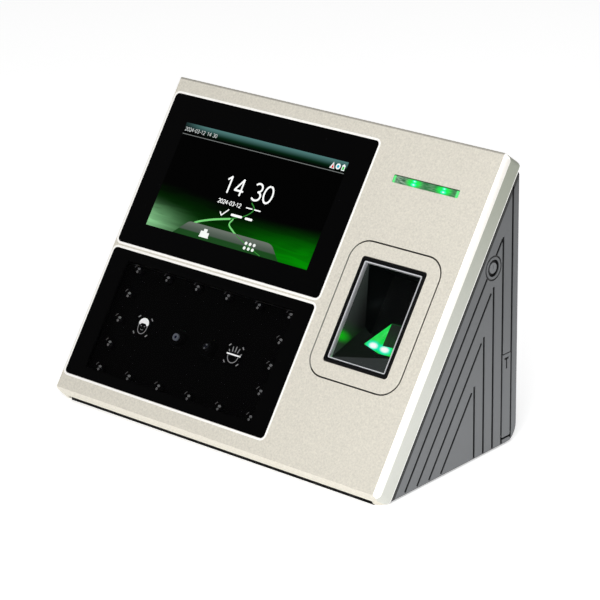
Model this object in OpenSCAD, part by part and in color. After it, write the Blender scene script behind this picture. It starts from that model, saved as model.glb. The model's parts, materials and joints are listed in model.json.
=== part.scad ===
// Desk and wall fingerprint terminal: a wedge whose front face leans back.
// World frame: millimetres, +Z up, the front faces -Y, the origin is at the
// middle of the footprint, on the table. The front parts are drawn in a face
// frame: X across, Y up the slope from the lower edge, Z out of the face.

/* [Body] */
// Overall width
body_w = 194.4; // [194:0.2:200]
// Overall depth from the front edge to the back
body_d = 99.4; // [99:0.1:101]
// Length of the front face up its slope
face_h = 157.8; // [157:0.2:160]
// Lean of the front face back from upright, in degrees
face_lean = 35; // [34.5:0.5:35.5]
// Height of the front face's lower edge above the table
sill_h = 7.7; // [7.5:0.1:8.2]
// How far the housing stands off the table on its feet
foot_h = 0.4; // [0.3:0.1:0.6]

/* [Front cover] */
// Depth of the cover's side walls
cover_t = 12; // [11.8:0.1:12.2]
// Wall thickness of the cover
cover_wall = 2.2; // [2:0.1:2.4]
// Width of the long side chamfers, seen from the front
chamfer_w = 1.6; // [1.2:0.1:2]
// Depth of the long side chamfers
chamfer_d = 3.8; // [3:0.1:4.5]
// Radius of the upper corners
corner_r = 2.6; // [2:0.2:4]
// Radius of the lower corners
low_corner_r = 4.5; // [3:0.5:6]

/* [Display and sensor windows] */
// Width of both black windows
window_w = 123.9; // [122:0.1:124]
// Flat strip between the windows and the cover's left edge
window_inset = 1.35; // [1.3:0.05:2]
// Lower edge of the sensor window
sensor_v = 7.6; // [7.5:0.1:8]
// Height of the sensor window
sensor_h = 63.4; // [63:0.1:63.8]
// Lower edge of the display window
display_v = 74.1; // [74:0.1:74.4]
// Height of the display window
display_h = 75.6; // [75:0.1:76]
// Corner radius of both windows
window_r = 2; // [1:0.5:3]
// Thickness of both windows
window_t = 1.6; // [1.4:0.1:1.7]

/* [Infrared lamps and cameras] */
// Distance between lamps across
lamp_pitch_x = 18.77; // [18:0.01:18.9]
// Distance between lamps up the slope
lamp_pitch_v = 12.22; // [12:0.01:12.4]
// Radius of one lamp
lamp_r = 1.9; // [1.5:0.1:2.2]
// Radius of each camera barrel
camera_r = 4; // [3:0.1:4.5]

/* [Fingerprint reader] */
// Distance of the reader's centre line from the middle
reader_x = 62.4; // [62:0.1:62.8]
// Height of the reader's centre up the slope
reader_v = 73.4; // [73:0.1:73.8]
// Width of the raised surround
surround_w = 49.8; // [49:0.1:50.4]
// Height of the raised surround
surround_h = 63.3; // [62.6:0.1:64]
// Corner radius of the surround
surround_r = 9; // [7:0.5:11]
// Width of the rubber frame
rubber_w = 35.7; // [35:0.1:36.4]
// Height of the rubber frame
rubber_h = 49.3; // [48.6:0.1:50]
// Width of the rubber frame's bar
rubber_bar = 1.75; // [1.6:0.05:2]

/* [Status light] */
// Length of the light bar
light_w = 36.3; // [30:0.1:38]
// Height of the light bar
light_h = 3.5; // [3:0.1:4]
// Height of its centre up the slope
light_v = 135.05; // [134:0.05:137]

/* [Rear housing] */
// Wall thickness of the housing
case_wall = 2.2; // [2:0.1:2.4]
// Thickness of the back wall
back_wall = 2.6; // [2.4:0.1:2.8]
// Radius of the lower back corner
heel_r = 8; // [6:0.5:9]
// Number of decorative groove pairs on each side
groove_pairs = 5; // [1:1:5]
// Distance between upright grooves
upright_pitch = 6.65; // [6.6:0.01:6.7]
// Distance between sloping grooves
slope_pitch = 6.75; // [6.7:0.01:6.8]
// Width of each groove
groove_w = 1.4; // [1.2:0.05:1.5]
// Depth of each groove
groove_d = 1; // [0.6:0.1:1.2]

/* [Power button] */
// Distance of the button's centre from the front
button_y = 81.7; // [81.5:0.1:82]
// Height of the button's centre
button_z = 86.8; // [86:0.1:87.5]
// Radius of the button cap
button_r = 2.45; // [2.2:0.05:2.6]
// Travel of the button
button_travel = 0.6; // [0.4:0.1:0.7]

/* [Port flap] */
// Height of the flap's upper edge
flap_top = 43.6; // [43:0.1:44]
// Height of the flap's hinge
flap_hinge_z = 4.6; // [4.5:0.1:6]
// Radius of the flap's hinge pin
flap_pin_r = 0.6; // [0.5:0.05:0.65]

/* [Wall plate] */
// Width of the plate
plate_w = 150; // [148:1:152]
// Height of the plate
plate_h = 98; // [97:0.5:99]
// Thickness of the plate
plate_t = 1.5; // [1.2:0.1:1.6]
// How far the terminal lifts to come off the plate
plate_travel = 8; // [6:0.5:8]
// Distance between wall holes across
plate_hole_x = 120; // [116:1:124]
// Distance between wall holes up and down
plate_hole_z = 76; // [74:1:78]

/* [Hidden] */

$fn = 48;
eps = 0.01;
s_lean = sin(face_lean);
c_lean = cos(face_lean);
half_w = body_w / 2;
half_d = body_d / 2;

// Colours
silver = [0.86, 0.84, 0.79];
case_grey = [0.30, 0.30, 0.31];
black = [0.03, 0.03, 0.03];
board_green = [0.05, 0.28, 0.14];
steel = [0.72, 0.73, 0.74];
lamp_grey = [0.25, 0.25, 0.30];
glow_green = [0.20, 0.85, 0.35];

// Clearances
fit_gap = 0.15;
slip_gap = 0.7;

// Points of an arc from angle a0 to a1 round c
function arc(c, r, a0, a1, n = 8) =
    [for (i = [0 : n]) let (a = a0 + (a1 - a0) * i / n) [c[0] + r * cos(a), c[1] + r * sin(a)]];

// Outline of a rectangle from the origin with rounded corners
function round_rect(w, h, r_top, r_low) = concat(
    arc([r_low, r_low], r_low, 180, 270),
    arc([w - r_low, r_low], r_low, 270, 360),
    arc([w - r_top, h - r_top], r_top, 0, 90),
    arc([r_top, h - r_top], r_top, 90, 180));

// Distance up the slope of a point at height z and depth d behind the face
function slope_v(z, d) = (z - sill_h + d * s_lean) / c_lean;
// Distance from the front of a point v up the slope and d behind the face
function world_y(v, d) = v * s_lean + d * c_lean;
// Height of a point v up the slope and d behind the face
function world_z(v, d) = sill_h + v * c_lean - d * s_lean;
// Height at which the plane d behind the face stands y from the front
function plane_z(y, d) = sill_h + (y * c_lean - d) / s_lean;

// Children drawn in the face frame
module on_face() {
    translate([0, -half_d, sill_h]) rotate([90 - face_lean, 0, 0]) children();
}

// Children drawn with Y counted from the front edge
module from_front() {
    translate([0, -half_d, 0]) children();
}

// A profile in Y and Z, carried across X from x0 to x1
module across(x0, x1) {
    translate([x0, 0, 0]) rotate([90, 0, 90]) linear_extrude(x1 - x0) children();
}

// A box given by its lowest and highest corners
module block(lo, hi) {
    translate(lo) cube(hi - lo);
}

// A plate with rounded corners, centred on [x, v], from w_back to w_front
module face_plate(x, v, w, h, r, w_back, w_front) {
    translate([x - w / 2, v - h / 2, w_back])
        linear_extrude(w_front - w_back) polygon(round_rect(w, h, r, r));
}

// A frame cut from such a plate
module face_ring(x, v, w, h, r, bar, w_back, w_front) {
    difference() {
        face_plate(x, v, w, h, r, w_back, w_front);
        face_plate(x, v, w - 2 * bar, h - 2 * bar, max(r - bar, 0.3), w_back - 1, w_front + 1);
    }
}

// ---------------------------------------------------------------- front cover
bevel_drop = 2.8;
bevel_back = 7.85;
toe_w = 5.2;
toe_lift = 1.7;
toe_top = foot_h + 0.5 + toe_lift;
window_x = -half_w + chamfer_w + window_inset + window_w / 2;
display_mid = display_v + display_h / 2;
sensor_mid = sensor_v + sensor_h / 2;
ledge = 2.5;
boss_r = 2.9;
screw_bore_r = 1.25;
column_x = window_x + window_w / 2 + 3.9;
side_boss_x = half_w - 5.4;
top_boss_v = face_h - 6.3;
mid_boss_v = display_v - 1.55;
low_boss_v = 7.4;
boss_places = [[-side_boss_x, low_boss_v], [-side_boss_x, mid_boss_v], [-side_boss_x, top_boss_v],
    [column_x, low_boss_v], [column_x, top_boss_v],
    [side_boss_x, low_boss_v], [side_boss_x, mid_boss_v], [side_boss_x, top_boss_v]];
chassis_bosses = [for (p = boss_places) if (p[1] < top_boss_v) p];
back_edge_v = -bevel_drop + (cover_t - bevel_back) * s_lean / c_lean;
top_back_r = 2.2;
top_front_r = 1;

module cover_outside() {
    intersection() {
        across(-half_w, half_w) polygon(concat(
            [[-bevel_drop, -bevel_back], [0, 0]],
            arc([face_h - top_front_r, -top_front_r], top_front_r, 90, 0),
            arc([face_h - top_back_r, -cover_t + top_back_r], top_back_r, 0, -90),
            [[back_edge_v, -cover_t]]));
        translate([-half_w, -bevel_drop, -cover_t - 1]) linear_extrude(cover_t + 2)
            polygon(round_rect(body_w, face_h + bevel_drop, corner_r, low_corner_r));
        translate([0, face_h + 1, 0]) rotate([90, 0, 0]) linear_extrude(face_h + bevel_drop + 2)
            polygon([[-half_w, -cover_t], [-half_w, -chamfer_d], [-half_w + chamfer_w, 0],
                [half_w - chamfer_w, 0], [half_w, -chamfer_d], [half_w, -cover_t]]);
    }
}

module cover_inside() {
    across(-half_w + cover_wall, half_w - cover_wall) polygon([
        [1.6, -cover_wall], [face_h - cover_wall, -cover_wall],
        [face_h - cover_wall, -cover_t - 1],
        [back_edge_v + 3.2, -cover_t - 1], [-0.2, -bevel_back + 0.6]]);
}

module window_cut(v, h) {
    face_plate(window_x, v, window_w + 2 * fit_gap, h + 2 * fit_gap, window_r + fit_gap,
        -window_t - 0.1, 1);
    face_plate(window_x, v, window_w - 2 * ledge, h - 2 * ledge, 1, -cover_t, 1);
}

module front_cover() {
    color(silver) on_face() difference() {
        union() {
            difference() {
                cover_outside();
                cover_inside();
            }
            intersection() {
                for (p = boss_places)
                    translate([p[0], p[1], -cover_t]) cylinder(r = boss_r, h = cover_t - window_t - 0.2);
                cover_outside();
            }
            // rib between the two windows
            block([-half_w + 1, mid_boss_v - 1, -cover_t + 5], [column_x, mid_boss_v + 1, -window_t - 0.2]);
        }
        window_cut(display_mid, display_h);
        window_cut(sensor_mid, sensor_h);
        face_plate(reader_x, light_v, light_w + 2 * fit_gap, light_h + 2 * fit_gap, 0.6, -5, 1);
        face_plate(reader_x, reader_v, surround_w + 2 * slip_gap, surround_h + 2 * slip_gap,
            surround_r + slip_gap, -5, 1);
        for (p = boss_places)
            translate([p[0], p[1], -cover_t - 1]) cylinder(r = screw_bore_r, h = cover_t - 3);
        // the lower edge is raised between the two toes
        rotate([face_lean - 90, 0, 0])
            block([-half_w + toe_w, -5, -sill_h - 1], [half_w - toe_w, 20, toe_top - sill_h]);
    }
}

// ---------------------------------------------------------------- windows and screen
module display_window() {
    color(black) on_face()
        face_plate(window_x, display_mid, window_w, display_h, window_r, -window_t, 0);
}

module sensor_window() {
    color(black) on_face()
        face_plate(window_x, sensor_mid, window_w, sensor_h, window_r, -window_t, 0);
}

lcd_w = 107.5;
lcd_h = 61;
lcd_t = 3.4;
lcd_x = window_x + 0.5;
lcd_v = 111;
lcd_front = -window_t - 0.3;

module lcd_panel() {
    color(steel) on_face()
        face_plate(lcd_x, lcd_v, lcd_w, lcd_h, 0.8, lcd_front - lcd_t, lcd_front);
}

module lcd_bracket() {
    back = lcd_front - lcd_t - 0.1;
    color(steel) on_face() difference() {
        union() {
            face_plate(lcd_x, lcd_v, lcd_w + 3, lcd_h + 3, 1.5, back - 1, back);
            for (side = [-1, 1])
                face_plate(lcd_x + side * (lcd_w / 2 + 1), lcd_v, 1, lcd_h - 10, 0.3, back - 1, back + 3);
        }
        for (i = [-1, 1])
            face_plate(lcd_x + i * 26, lcd_v + 4, 34, 34, 3, back - 5, back + 5);
    }
}

// ---------------------------------------------------------------- infrared lamps and cameras
lamp_cols = 6;
lamp_rows = 5;
lamp_x0 = window_x - lamp_pitch_x * (lamp_cols - 1) / 2 + 2.1;
lamp_v0 = sensor_mid - lamp_pitch_v * (lamp_rows - 1) / 2 - 0.25;
lamp_board_t = 1.6;
lamp_board_front = -5.2;
lamp_places = [for (i = [0 : lamp_cols - 1]) for (j = [0 : lamp_rows - 1])
    if (i == 0 || i == lamp_cols - 1 || j == 0 || j == lamp_rows - 1)
        [lamp_x0 + i * lamp_pitch_x, lamp_v0 + j * lamp_pitch_v]];
camera_v = lamp_v0 + 2 * lamp_pitch_v;
colour_camera_x = lamp_x0 + 1.94 * lamp_pitch_x;
ir_camera_x = lamp_x0 + 2.94 * lamp_pitch_x;
camera_back = -9.4;

module ir_lamp_board() {
    color(board_green) on_face() difference() {
        face_plate(window_x + 1, sensor_mid, window_w - 12, sensor_h - 10, 2,
            lamp_board_front - lamp_board_t, lamp_board_front);
        for (x = [colour_camera_x, ir_camera_x])
            translate([x, camera_v, -20]) cylinder(r = camera_r + 0.6, h = 20);
        for (side = [-1, 1])
            face_plate(window_x + 1 + side * (window_w / 2 - 6), low_boss_v, 9, 12, 1, -20, 0);
    }
}

module ir_lamps() {
    color(lamp_grey) on_face()
        for (p = lamp_places) translate([p[0], p[1], lamp_board_front + 0.02]) {
            cylinder(r = lamp_r + 0.25, h = 0.6);
            cylinder(r = lamp_r, h = 1.5);
            translate([0, 0, 1.5]) intersection() {
                sphere(r = lamp_r);
                cylinder(r = lamp_r, h = 1.7);
            }
        }
}

module camera(x) {
    color(black) on_face() translate([x, camera_v, camera_back]) {
        translate([-4.4, -4.4, 0]) cube([8.8, 8.8, 1.6]);
        difference() {
            cylinder(r = camera_r, h = -camera_back - window_t - 0.4);
            translate([0, 0, -camera_back - window_t - 1.6]) cylinder(r1 = 1.6, r2 = 2.8, h = 1.4);
        }
    }
}

module ir_camera() { camera(ir_camera_x); }

module colour_camera() { camera(colour_camera_x); }

module camera_board() {
    color(board_green) on_face() face_plate((colour_camera_x + ir_camera_x) / 2, camera_v,
        lamp_pitch_x + 14, 15, 1, camera_back - 1.3, camera_back - 0.1);
}

// ---------------------------------------------------------------- status light
module status_light_bar() {
    color(glow_green) on_face() {
        face_plate(reader_x, light_v, light_w, light_h, 0.5, -3.6, 0);
        face_plate(reader_x, light_v, light_w + 3, light_h + 3, 0.8, -3.6, -2.4);
    }
}

module status_light_board() {
    color(board_green) on_face() {
        face_plate(reader_x, light_v, light_w + 6, light_h + 5, 1, -6.2, -5);
        for (i = [-1, 1])
            translate([reader_x + i * 8.2 - 1.6, light_v - 1.4, -5]) cube([3.2, 2.8, 1.1]);
    }
}

// ---------------------------------------------------------------- fingerprint reader
opening_w = rubber_w + 2 * fit_gap;
opening_h = rubber_h + 2 * fit_gap;
trim_w = rubber_w - 2 * rubber_bar - 0.1;
trim_h = rubber_h - 2 * rubber_bar - 0.1;
trim_bar = 0.7;
prism_w = trim_w - 2 * trim_bar - 0.2;
prism_h = trim_h - 2 * trim_bar - 0.2;
tub_back = -27;
tub_front = -4;

module reader_surround() {
    color(silver) on_face() difference() {
        union() {
            face_plate(reader_x, reader_v, surround_w, surround_h, surround_r, -2.5, 0.2);
            face_plate(reader_x, reader_v, surround_w + 2.4, surround_h + 2.4, surround_r, -3.6, -2.35);
        }
        face_plate(reader_x, reader_v, opening_w, opening_h, 1.4, -8, 2);
    }
}

module reader_rubber() {
    color(black) on_face()
        face_ring(reader_x, reader_v, rubber_w, rubber_h, 1.3, rubber_bar, -3.2, 0.5);
}

module reader_trim() {
    color(steel) on_face()
        face_ring(reader_x, reader_v, trim_w, trim_h, 0.5, trim_bar, -3.2, 0.2);
}

module reader_prism() {
    low = reader_v - prism_h / 2;
    high = reader_v + prism_h / 2;
    color([0.15, 0.22, 0.20, 0.5]) on_face() across(reader_x - prism_w / 2, reader_x + prism_w / 2)
        polygon([[low, -0.2], [high, -0.2], [high, -2.4], [reader_v + 4, -21], [low + 2, -8]]);
}

module reader_tub() {
    outer_w = rubber_w + 2.4;
    outer_h = rubber_h + 2.4;
    color(black) on_face() difference() {
        face_plate(reader_x, reader_v, outer_w, outer_h, 1.5, tub_back, tub_front);
        face_plate(reader_x, reader_v, outer_w - 3, outer_h - 3, 1, tub_back + 1.5, tub_front + 1);
    }
}

module reader_board() {
    color(board_green) on_face()
        face_plate(reader_x, reader_v, rubber_w + 1, rubber_h + 1, 1, tub_back - 1.7, tub_back - 0.1);
}

module reader_lamps() {
    color(glow_green) on_face()
        for (i = [-1, 1]) translate([reader_x + i * 6 + 4, reader_v - 18, tub_back + 1.55])
            cylinder(r = 1.5, h = 2.4);
}

module card_antenna() {
    color(board_green) on_face() difference() {
        face_plate(reader_x, 24, 46, 27, 2, -4.2, -3.2);
        face_ring(reader_x, 24, 43, 24, 2, 0.8, -3.4, -3);
        face_ring(reader_x, 24, 39.5, 20.5, 2, 0.8, -3.4, -3);
        face_plate(reader_x, 24, 28, 10, 2, -5, 0);
    }
}

// ---------------------------------------------------------------- seal and chassis
seam = 13.1;
seal_in = 0.4;
seal_bar = 1.4;
chassis_front = -cover_t - 0.2;
chassis_t = 0.8;
chassis_low = 5;
chassis_high = 147.5;

module front_seal() {
    low = slope_v(foot_h + 2.6, seam);
    high = face_h - 4.4;
    mid = (low + high) / 2;
    color(black) on_face()
        face_ring(0, mid, body_w - 2 * seal_in, high - low, 2, seal_bar, -seam + 0.05, -cover_t - 0.05);
}

module chassis_plate() {
    color(steel) difference() {
        on_face() difference() {
            face_plate(0, (chassis_low + chassis_high) / 2, body_w - 7, chassis_high - chassis_low, 3,
                chassis_front - chassis_t, chassis_front);
            for (p = chassis_bosses)
                translate([p[0], p[1], chassis_front - 3]) cylinder(r = 1.6, h = 4);
            face_plate(reader_x, reader_v, rubber_w + 4, rubber_h + 4, 2, -40, 0);
            face_plate(window_x, display_v + 4, 26, 10, 2, -40, 0);
            face_plate(window_x, sensor_v + 12, 26, 10, 2, -40, 0);
            face_plate(window_x, 115, 80, 40, 6, -40, 0);
        }
        for (side = [-1, 1]) for (z = [screw_low_z, screw_high_z])
            translate([side * screw_x, -half_d, z]) rotate([-90, 0, 0]) cylinder(r = 1.6, h = body_d);
    }
}

// ---------------------------------------------------------------- rear housing
side_in = 0.5;
case_x = half_w - side_in;
plate_recess = 2.2;
recess_floor = body_d - plate_recess;
recess_w = plate_w + 1;
recess_top = 116;
recess_low = recess_top - plate_h - plate_travel - 1;
bay_w = 84;
bay_low = 27;
bay_high = 60;
channel_w = 16;
channel_in = 9;
first_upright = body_d - 4.1;
first_slope = seam + 0.25;
flap_gap = 0.5;
flap_t = 1.9;
flap_lo_y = first_upright - upright_pitch + flap_gap;
flap_hi_y = first_upright - flap_gap;
pocket_back = 4.4;
screw_low_z = 14.5;
screw_high_z = 108;
screw_x = 84;
tube_r = 4;
low_shelf_y = world_y(slope_v(screw_low_z, seam), seam) + 8;
high_shelf_y = world_y(slope_v(screw_high_z, seam), seam) + 4;

// The housing's outline in Y and Z; the hollow inside is its walls smaller and open at the front
module wedge_profile() {
    floor_y = world_y(slope_v(foot_h, seam), seam);
    peak_z = plane_z(body_d, seam) - 1.6;
    ridge_z = peak_z + 0.85;
    polygon(concat(
        [[floor_y, foot_h]],
        arc([body_d - heel_r, foot_h + heel_r], heel_r, 270, 360),
        [[body_d, peak_z], [body_d - 0.6, peak_z + 1.05], [world_y(slope_v(ridge_z, seam), seam), ridge_z]]));
}

module wedge_hollow() {
    floor_z = foot_h + case_wall;
    back = body_d - back_wall;
    r = max(heel_r - case_wall, 1);
    polygon(concat(
        [[world_y(slope_v(floor_z, seam), seam) - 3, floor_z]],
        arc([back - r, floor_z + r], r, 270, 360),
        [[back, plane_z(back, seam) + 4]]));
}

// Upright groove number k ends where its sloping partner would meet it
function groove_y(k) = first_upright - k * upright_pitch;
function groove_depth(k) = first_slope + k * slope_pitch;
function groove_apex(k) = (groove_y(k) - groove_depth(k) * c_lean) / s_lean;

// One side's grooves, cut inwards from x = 0 towards -X
module side_grooves() {
    difference() {
        for (k = [0 : groove_pairs - 1]) {
            apex = groove_apex(k);
            block([-groove_d, groove_y(k) - groove_w / 2, foot_h + (k == 0 ? 2 : 0.9)],
                [1, groove_y(k) + groove_w / 2, world_z(apex, groove_depth(k))]);
            if (k > 0)
                translate([0, 0, sill_h]) rotate([90 - face_lean, 0, 0])
                    block(
                        [-groove_d, slope_v(foot_h + 1.5, groove_depth(k)), -groove_depth(k) - groove_w / 2],
                        [1, apex - (k == 1 ? 1 : 3), -groove_depth(k) + groove_w / 2]);
        }
        translate([-5, button_y, button_z]) rotate([0, 90, 0]) cylinder(r = collar_r, h = 10);
    }
}

collar_r = 5.8;
collar_line = 0.8;
well_r = 3.9;

module screw_tube(x, z, shelf) {
    translate([x, shelf - 2.5, z]) rotate([-90, 0, 0])
        cylinder(r = tube_r, h = body_d - back_wall + 0.5 - shelf + 2.5);
}

module screw_tube_bore(x, z, shelf) {
    translate([x, shelf, z]) rotate([-90, 0, 0]) cylinder(r = tube_r - 1.2, h = body_d);
    translate([x, shelf - 4, z]) rotate([-90, 0, 0]) cylinder(r = 1.6, h = 10);
}

// Hooks of the wall plate and the slots that they reach through
hook_x = 58;
hook_z = [38, 96];
hook_half = 5;
hook_t = 1.2;
hook_in = 3.6;
hook_rise = 6;
slot_half = 7;
slot_in = 4;

module rear_housing() {
    color(case_grey) from_front() difference() {
        union() {
            difference() {
                across(-case_x, case_x) wedge_profile();
                across(-case_x + case_wall, case_x - case_wall) wedge_hollow();
            }
            // thicker back where the wall plate is let in
            intersection() {
                block([-recess_w / 2 - 2, recess_floor - back_wall, foot_h + 1],
                    [recess_w / 2 + 2, body_d - 1, recess_top + 2]);
                across(-case_x, case_x) wedge_profile();
            }
            // walls of the cable channel
            intersection() {
                block([-channel_w / 2 - 2, body_d - channel_in - 2, foot_h],
                    [channel_w / 2 + 2, body_d - 1, bay_low]);
                across(-case_x, case_x) wedge_profile();
            }
            intersection() {
                for (side = [-1, 1]) {
                    screw_tube(side * screw_x, screw_low_z, low_shelf_y);
                    screw_tube(side * screw_x, screw_high_z, high_shelf_y);
                }
                across(-case_x, case_x) wedge_profile();
            }
            // pocket wall behind the flap and lugs that hold its pin
            intersection() {
                union() {
                    block([case_x - pocket_back, flap_lo_y - 1.8, foot_h + 1],
                        [case_x - 1, flap_hi_y + 1.8, flap_top + 2]);
                    block([case_x - pocket_back, flap_lo_y - 2.6, foot_h + 1],
                        [case_x - 1, flap_hi_y + 2.6, flap_hinge_z + 1.6]);
                }
                across(-case_x, case_x) wedge_profile();
            }
        }
        for (side = [-1, 1]) {
            screw_tube_bore(side * screw_x, screw_low_z, low_shelf_y);
            screw_tube_bore(side * screw_x, screw_high_z, high_shelf_y);
        }
        translate([case_x, 0, 0]) side_grooves();
        translate([-case_x, 0, 0]) mirror([1, 0, 0]) side_grooves();
        // lower side edges are taken off
        for (side = [-1, 1]) translate([side * case_x, 0, foot_h]) rotate([0, 45, 0])
            translate([-0.6, -1, -0.6]) cube([1.2, body_d + 2, 1.2]);
        // wall plate recess, hook slots, connector bay and cable channel
        block([-recess_w / 2, recess_floor, recess_low], [recess_w / 2, body_d + 1, recess_top]);
        for (side = [-1, 1]) for (z = hook_z)
            block([side * hook_x - slot_half, recess_floor - slot_in, z - plate_travel - 1],
                [side * hook_x + slot_half, body_d, z + hook_rise + 1.5]);
        block([-bay_w / 2, body_d - 9, bay_low], [bay_w / 2, body_d + 1, bay_high]);
        block([-channel_w / 2, body_d - channel_in, -1], [channel_w / 2, body_d + 1, bay_low + 1]);
        // loudspeaker slots in the floor
        for (i = [-2 : 2])
            translate([speaker_x, speaker_y + i * 3.2, 0]) block([-9, -0.7, -1], [9, 0.7, 4]);
        // power button well and its collar line
        translate([case_x - 5, button_y, button_z]) rotate([0, 90, 0]) cylinder(r = well_r, h = 8);
        translate([case_x - 0.5, button_y, button_z]) rotate([0, 90, 0]) difference() {
            cylinder(r = collar_r, h = 2);
            translate([0, 0, -1]) cylinder(r = collar_r - collar_line, h = 4);
        }
        // port flap opening and pin bore
        block([case_x - flap_t - 0.4, flap_lo_y - flap_gap, flap_hinge_z - 1.6],
            [case_x + 1, flap_hi_y + flap_gap, flap_top + flap_gap]);
        block([case_x - flap_t - 0.9, flap_lo_y - flap_gap, flap_hinge_z - 1.6],
            [case_x + 1, flap_hi_y + flap_gap, flap_hinge_z + 1.6]);
        block([case_x - pocket_back - 1, usb_mid_y - 2.9, usb_mid_z - 6.9],
            [case_x, usb_mid_y + 2.9, usb_mid_z + 6.9]);
        translate([case_x - 1.2, flap_lo_y - 2.3, flap_hinge_z]) rotate([-90, 0, 0])
            cylinder(r = flap_pin_r, h = flap_hi_y - flap_lo_y + 4.6);
    }
}

// A pan-head screw whose head's underside is at the origin, pointing -Z
module screw(r, head_r, length) {
    difference() {
        union() {
            cylinder(r = head_r, h = 1.6);
            translate([0, 0, -length]) cylinder(r = r, h = length + eps);
        }
        for (a = [0, 90]) rotate([0, 0, a])
            block([-head_r * 0.6, -0.3, 0.8], [head_r * 0.6, 0.3, 2.8]);
    }
}

module cover_screws() {
    color(steel) on_face() for (p = chassis_bosses)
        translate([p[0], p[1], chassis_front - chassis_t]) rotate([180, 0, 0])
            screw(screw_bore_r - 0.02, 2.4, 8);
}

module housing_screws() {
    color(steel) from_front() for (side = [-1, 1]) {
        translate([side * screw_x, low_shelf_y, screw_low_z]) rotate([-90, 0, 0]) screw(1.5, 2.6, 11.5);
        translate([side * screw_x, high_shelf_y, screw_high_z]) rotate([-90, 0, 0]) screw(1.5, 2.6, 7.5);
    }
}

// ---------------------------------------------------------------- electronics
board_y = 77.5;
board_t = 1.6;
board_back = board_y + board_t;
board_left = -78;
board_right = 36;
board_low = 21;
board_high = 84;

module main_board() {
    color(board_green) from_front() difference() {
        block([board_left, board_y, board_low], [board_right, board_back, board_high]);
        for (x = [board_left + 4, board_right - 4]) for (z = [board_low + 4, board_high - 4])
            translate([x, board_y - 1, z]) rotate([-90, 0, 0]) cylinder(r = 1.6, h = 5);
    }
}

module heat_sink() {
    color(steel) from_front() {
        block([-60, board_y - 3.1, 38], [-30, board_y - 0.1, 68]);
        for (i = [0 : 6])
            block([-60 + i * 4.8, board_y - 10, 38], [-58.8 + i * 4.8, board_y - 3.05, 66]);
    }
}

module door_relay() {
    color([0.1, 0.25, 0.6]) from_front() block([8, board_y - 15.1, 45], [27, board_y - 0.1, 60]);
}

module clock_cell() {
    color(steel) from_front() translate([-64, board_back + 0.05, 68]) rotate([-90, 0, 0]) {
        cylinder(r = 10, h = 3);
        cylinder(r = 8.4, h = 3.5);
    }
}

jack_z = 36;

module ethernet_jack() {
    x = -34;
    color(steel) from_front() difference() {
        block([x, board_back + 0.05, jack_z], [x + 16, board_back + 15.5, jack_z + 13.4]);
        block([x + 2, board_back + 4, jack_z + 2.2], [x + 14, board_back + 20, jack_z + 9.4]);
        block([x + 5, board_back + 4, jack_z + 9.3], [x + 11, board_back + 20, jack_z + 11.8]);
    }
}

module power_jack() {
    x = 22;
    color(black) from_front() {
        difference() {
            block([x, board_back + 0.05, jack_z], [x + 9.4, board_back + 14, jack_z + 11]);
            translate([x + 4.7, board_back + 3, jack_z + 6.2]) rotate([-90, 0, 0]) cylinder(r = 3.1, h = 20);
        }
        translate([x + 4.7, board_back + 2.9, jack_z + 6.2]) rotate([-90, 0, 0]) cylinder(r = 1, h = 9.5);
    }
}

module terminal_block() {
    ways = 8;
    pitch = 3.5;
    x = -12.5;
    color([0.1, 0.5, 0.3]) from_front() difference() {
        block([x, board_back + 0.05, jack_z], [x + ways * pitch + 1, board_back + 13, jack_z + 9]);
        for (i = [0 : ways - 1]) translate([x + 1.2 + i * pitch, board_back, jack_z]) {
            block([0, 7, 2], [2.2, 14, 4.6]);
            translate([1.1, 9, 6]) cylinder(r = 1.1, h = 5);
        }
    }
}

usb_mid_y = (flap_lo_y + flap_hi_y) / 2;
usb_mid_z = flap_top - 11.3;
usb_front = case_x - 2.9;

module usb_port() {
    color(steel) from_front() {
        translate([usb_front, usb_mid_y, usb_mid_z]) {
            difference() {
                block([-13, -2.6, -6.6], [0, 2.6, 6.6]);
                block([-12, -2.3, -6.2], [1, 2.3, 6.2]);
            }
            block([-12.1, -0.4, -5.6], [-2, 1.4, 5.6]);
        }
    }
}

module usb_board() {
    color(board_green) from_front()
        block([usb_front - 15.4, usb_mid_y + 2.7, usb_mid_z - 9],
            [usb_front - 1.9, usb_mid_y + 3.9, usb_mid_z + 9]);
}

speaker_x = -50;
speaker_y = 52;
on_floor_z = foot_h + case_wall + 0.1;

module loudspeaker() {
    color(black) from_front() translate([speaker_x, speaker_y, on_floor_z]) {
        cylinder(r = 14, h = 3.4);
        translate([0, 0, 3.35]) cylinder(r = 9, h = 3.2);
    }
}

battery_x = 24;
battery_w = 52;
battery_y0 = 40;
battery_d = 34;
battery_t = 9;

module backup_battery() {
    color([0.2, 0.35, 0.6]) from_front()
        block([battery_x - battery_w / 2, battery_y0, on_floor_z],
            [battery_x + battery_w / 2, battery_y0 + battery_d, on_floor_z + battery_t]);
}

module battery_strap() {
    strap_t = 0.8;
    inner = battery_w / 2 + 0.1;
    inner_top = on_floor_z + battery_t + 0.1;
    color(steel) from_front() difference() {
        block([battery_x - inner - strap_t, battery_y0 + 12, on_floor_z],
            [battery_x + inner + strap_t, battery_y0 + 22, inner_top + strap_t]);
        block([battery_x - inner, battery_y0 + 10, on_floor_z - 1],
            [battery_x + inner, battery_y0 + 24, inner_top]);
    }
}

// A flat ribbon that follows points in Y and Z, width w, centred on x
module ribbon(x, w, path) {
    t = 0.3;
    color([0.8, 0.8, 0.78]) from_front() across(x - w / 2, x + w / 2) polygon(concat(
        path, [for (i = [len(path) - 1 : -1 : 0]) [path[i][0] + t, path[i][1] + t]]));
}

module display_ribbon() {
    start = [world_y(display_v + 4, 7), world_z(display_v + 4, 7)];
    ribbon(window_x, 16, [start, [start[0] + 9, start[1] - 7], [board_y - 3, board_high - 12],
        [board_y - 0.8, board_high - 14]]);
}

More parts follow.
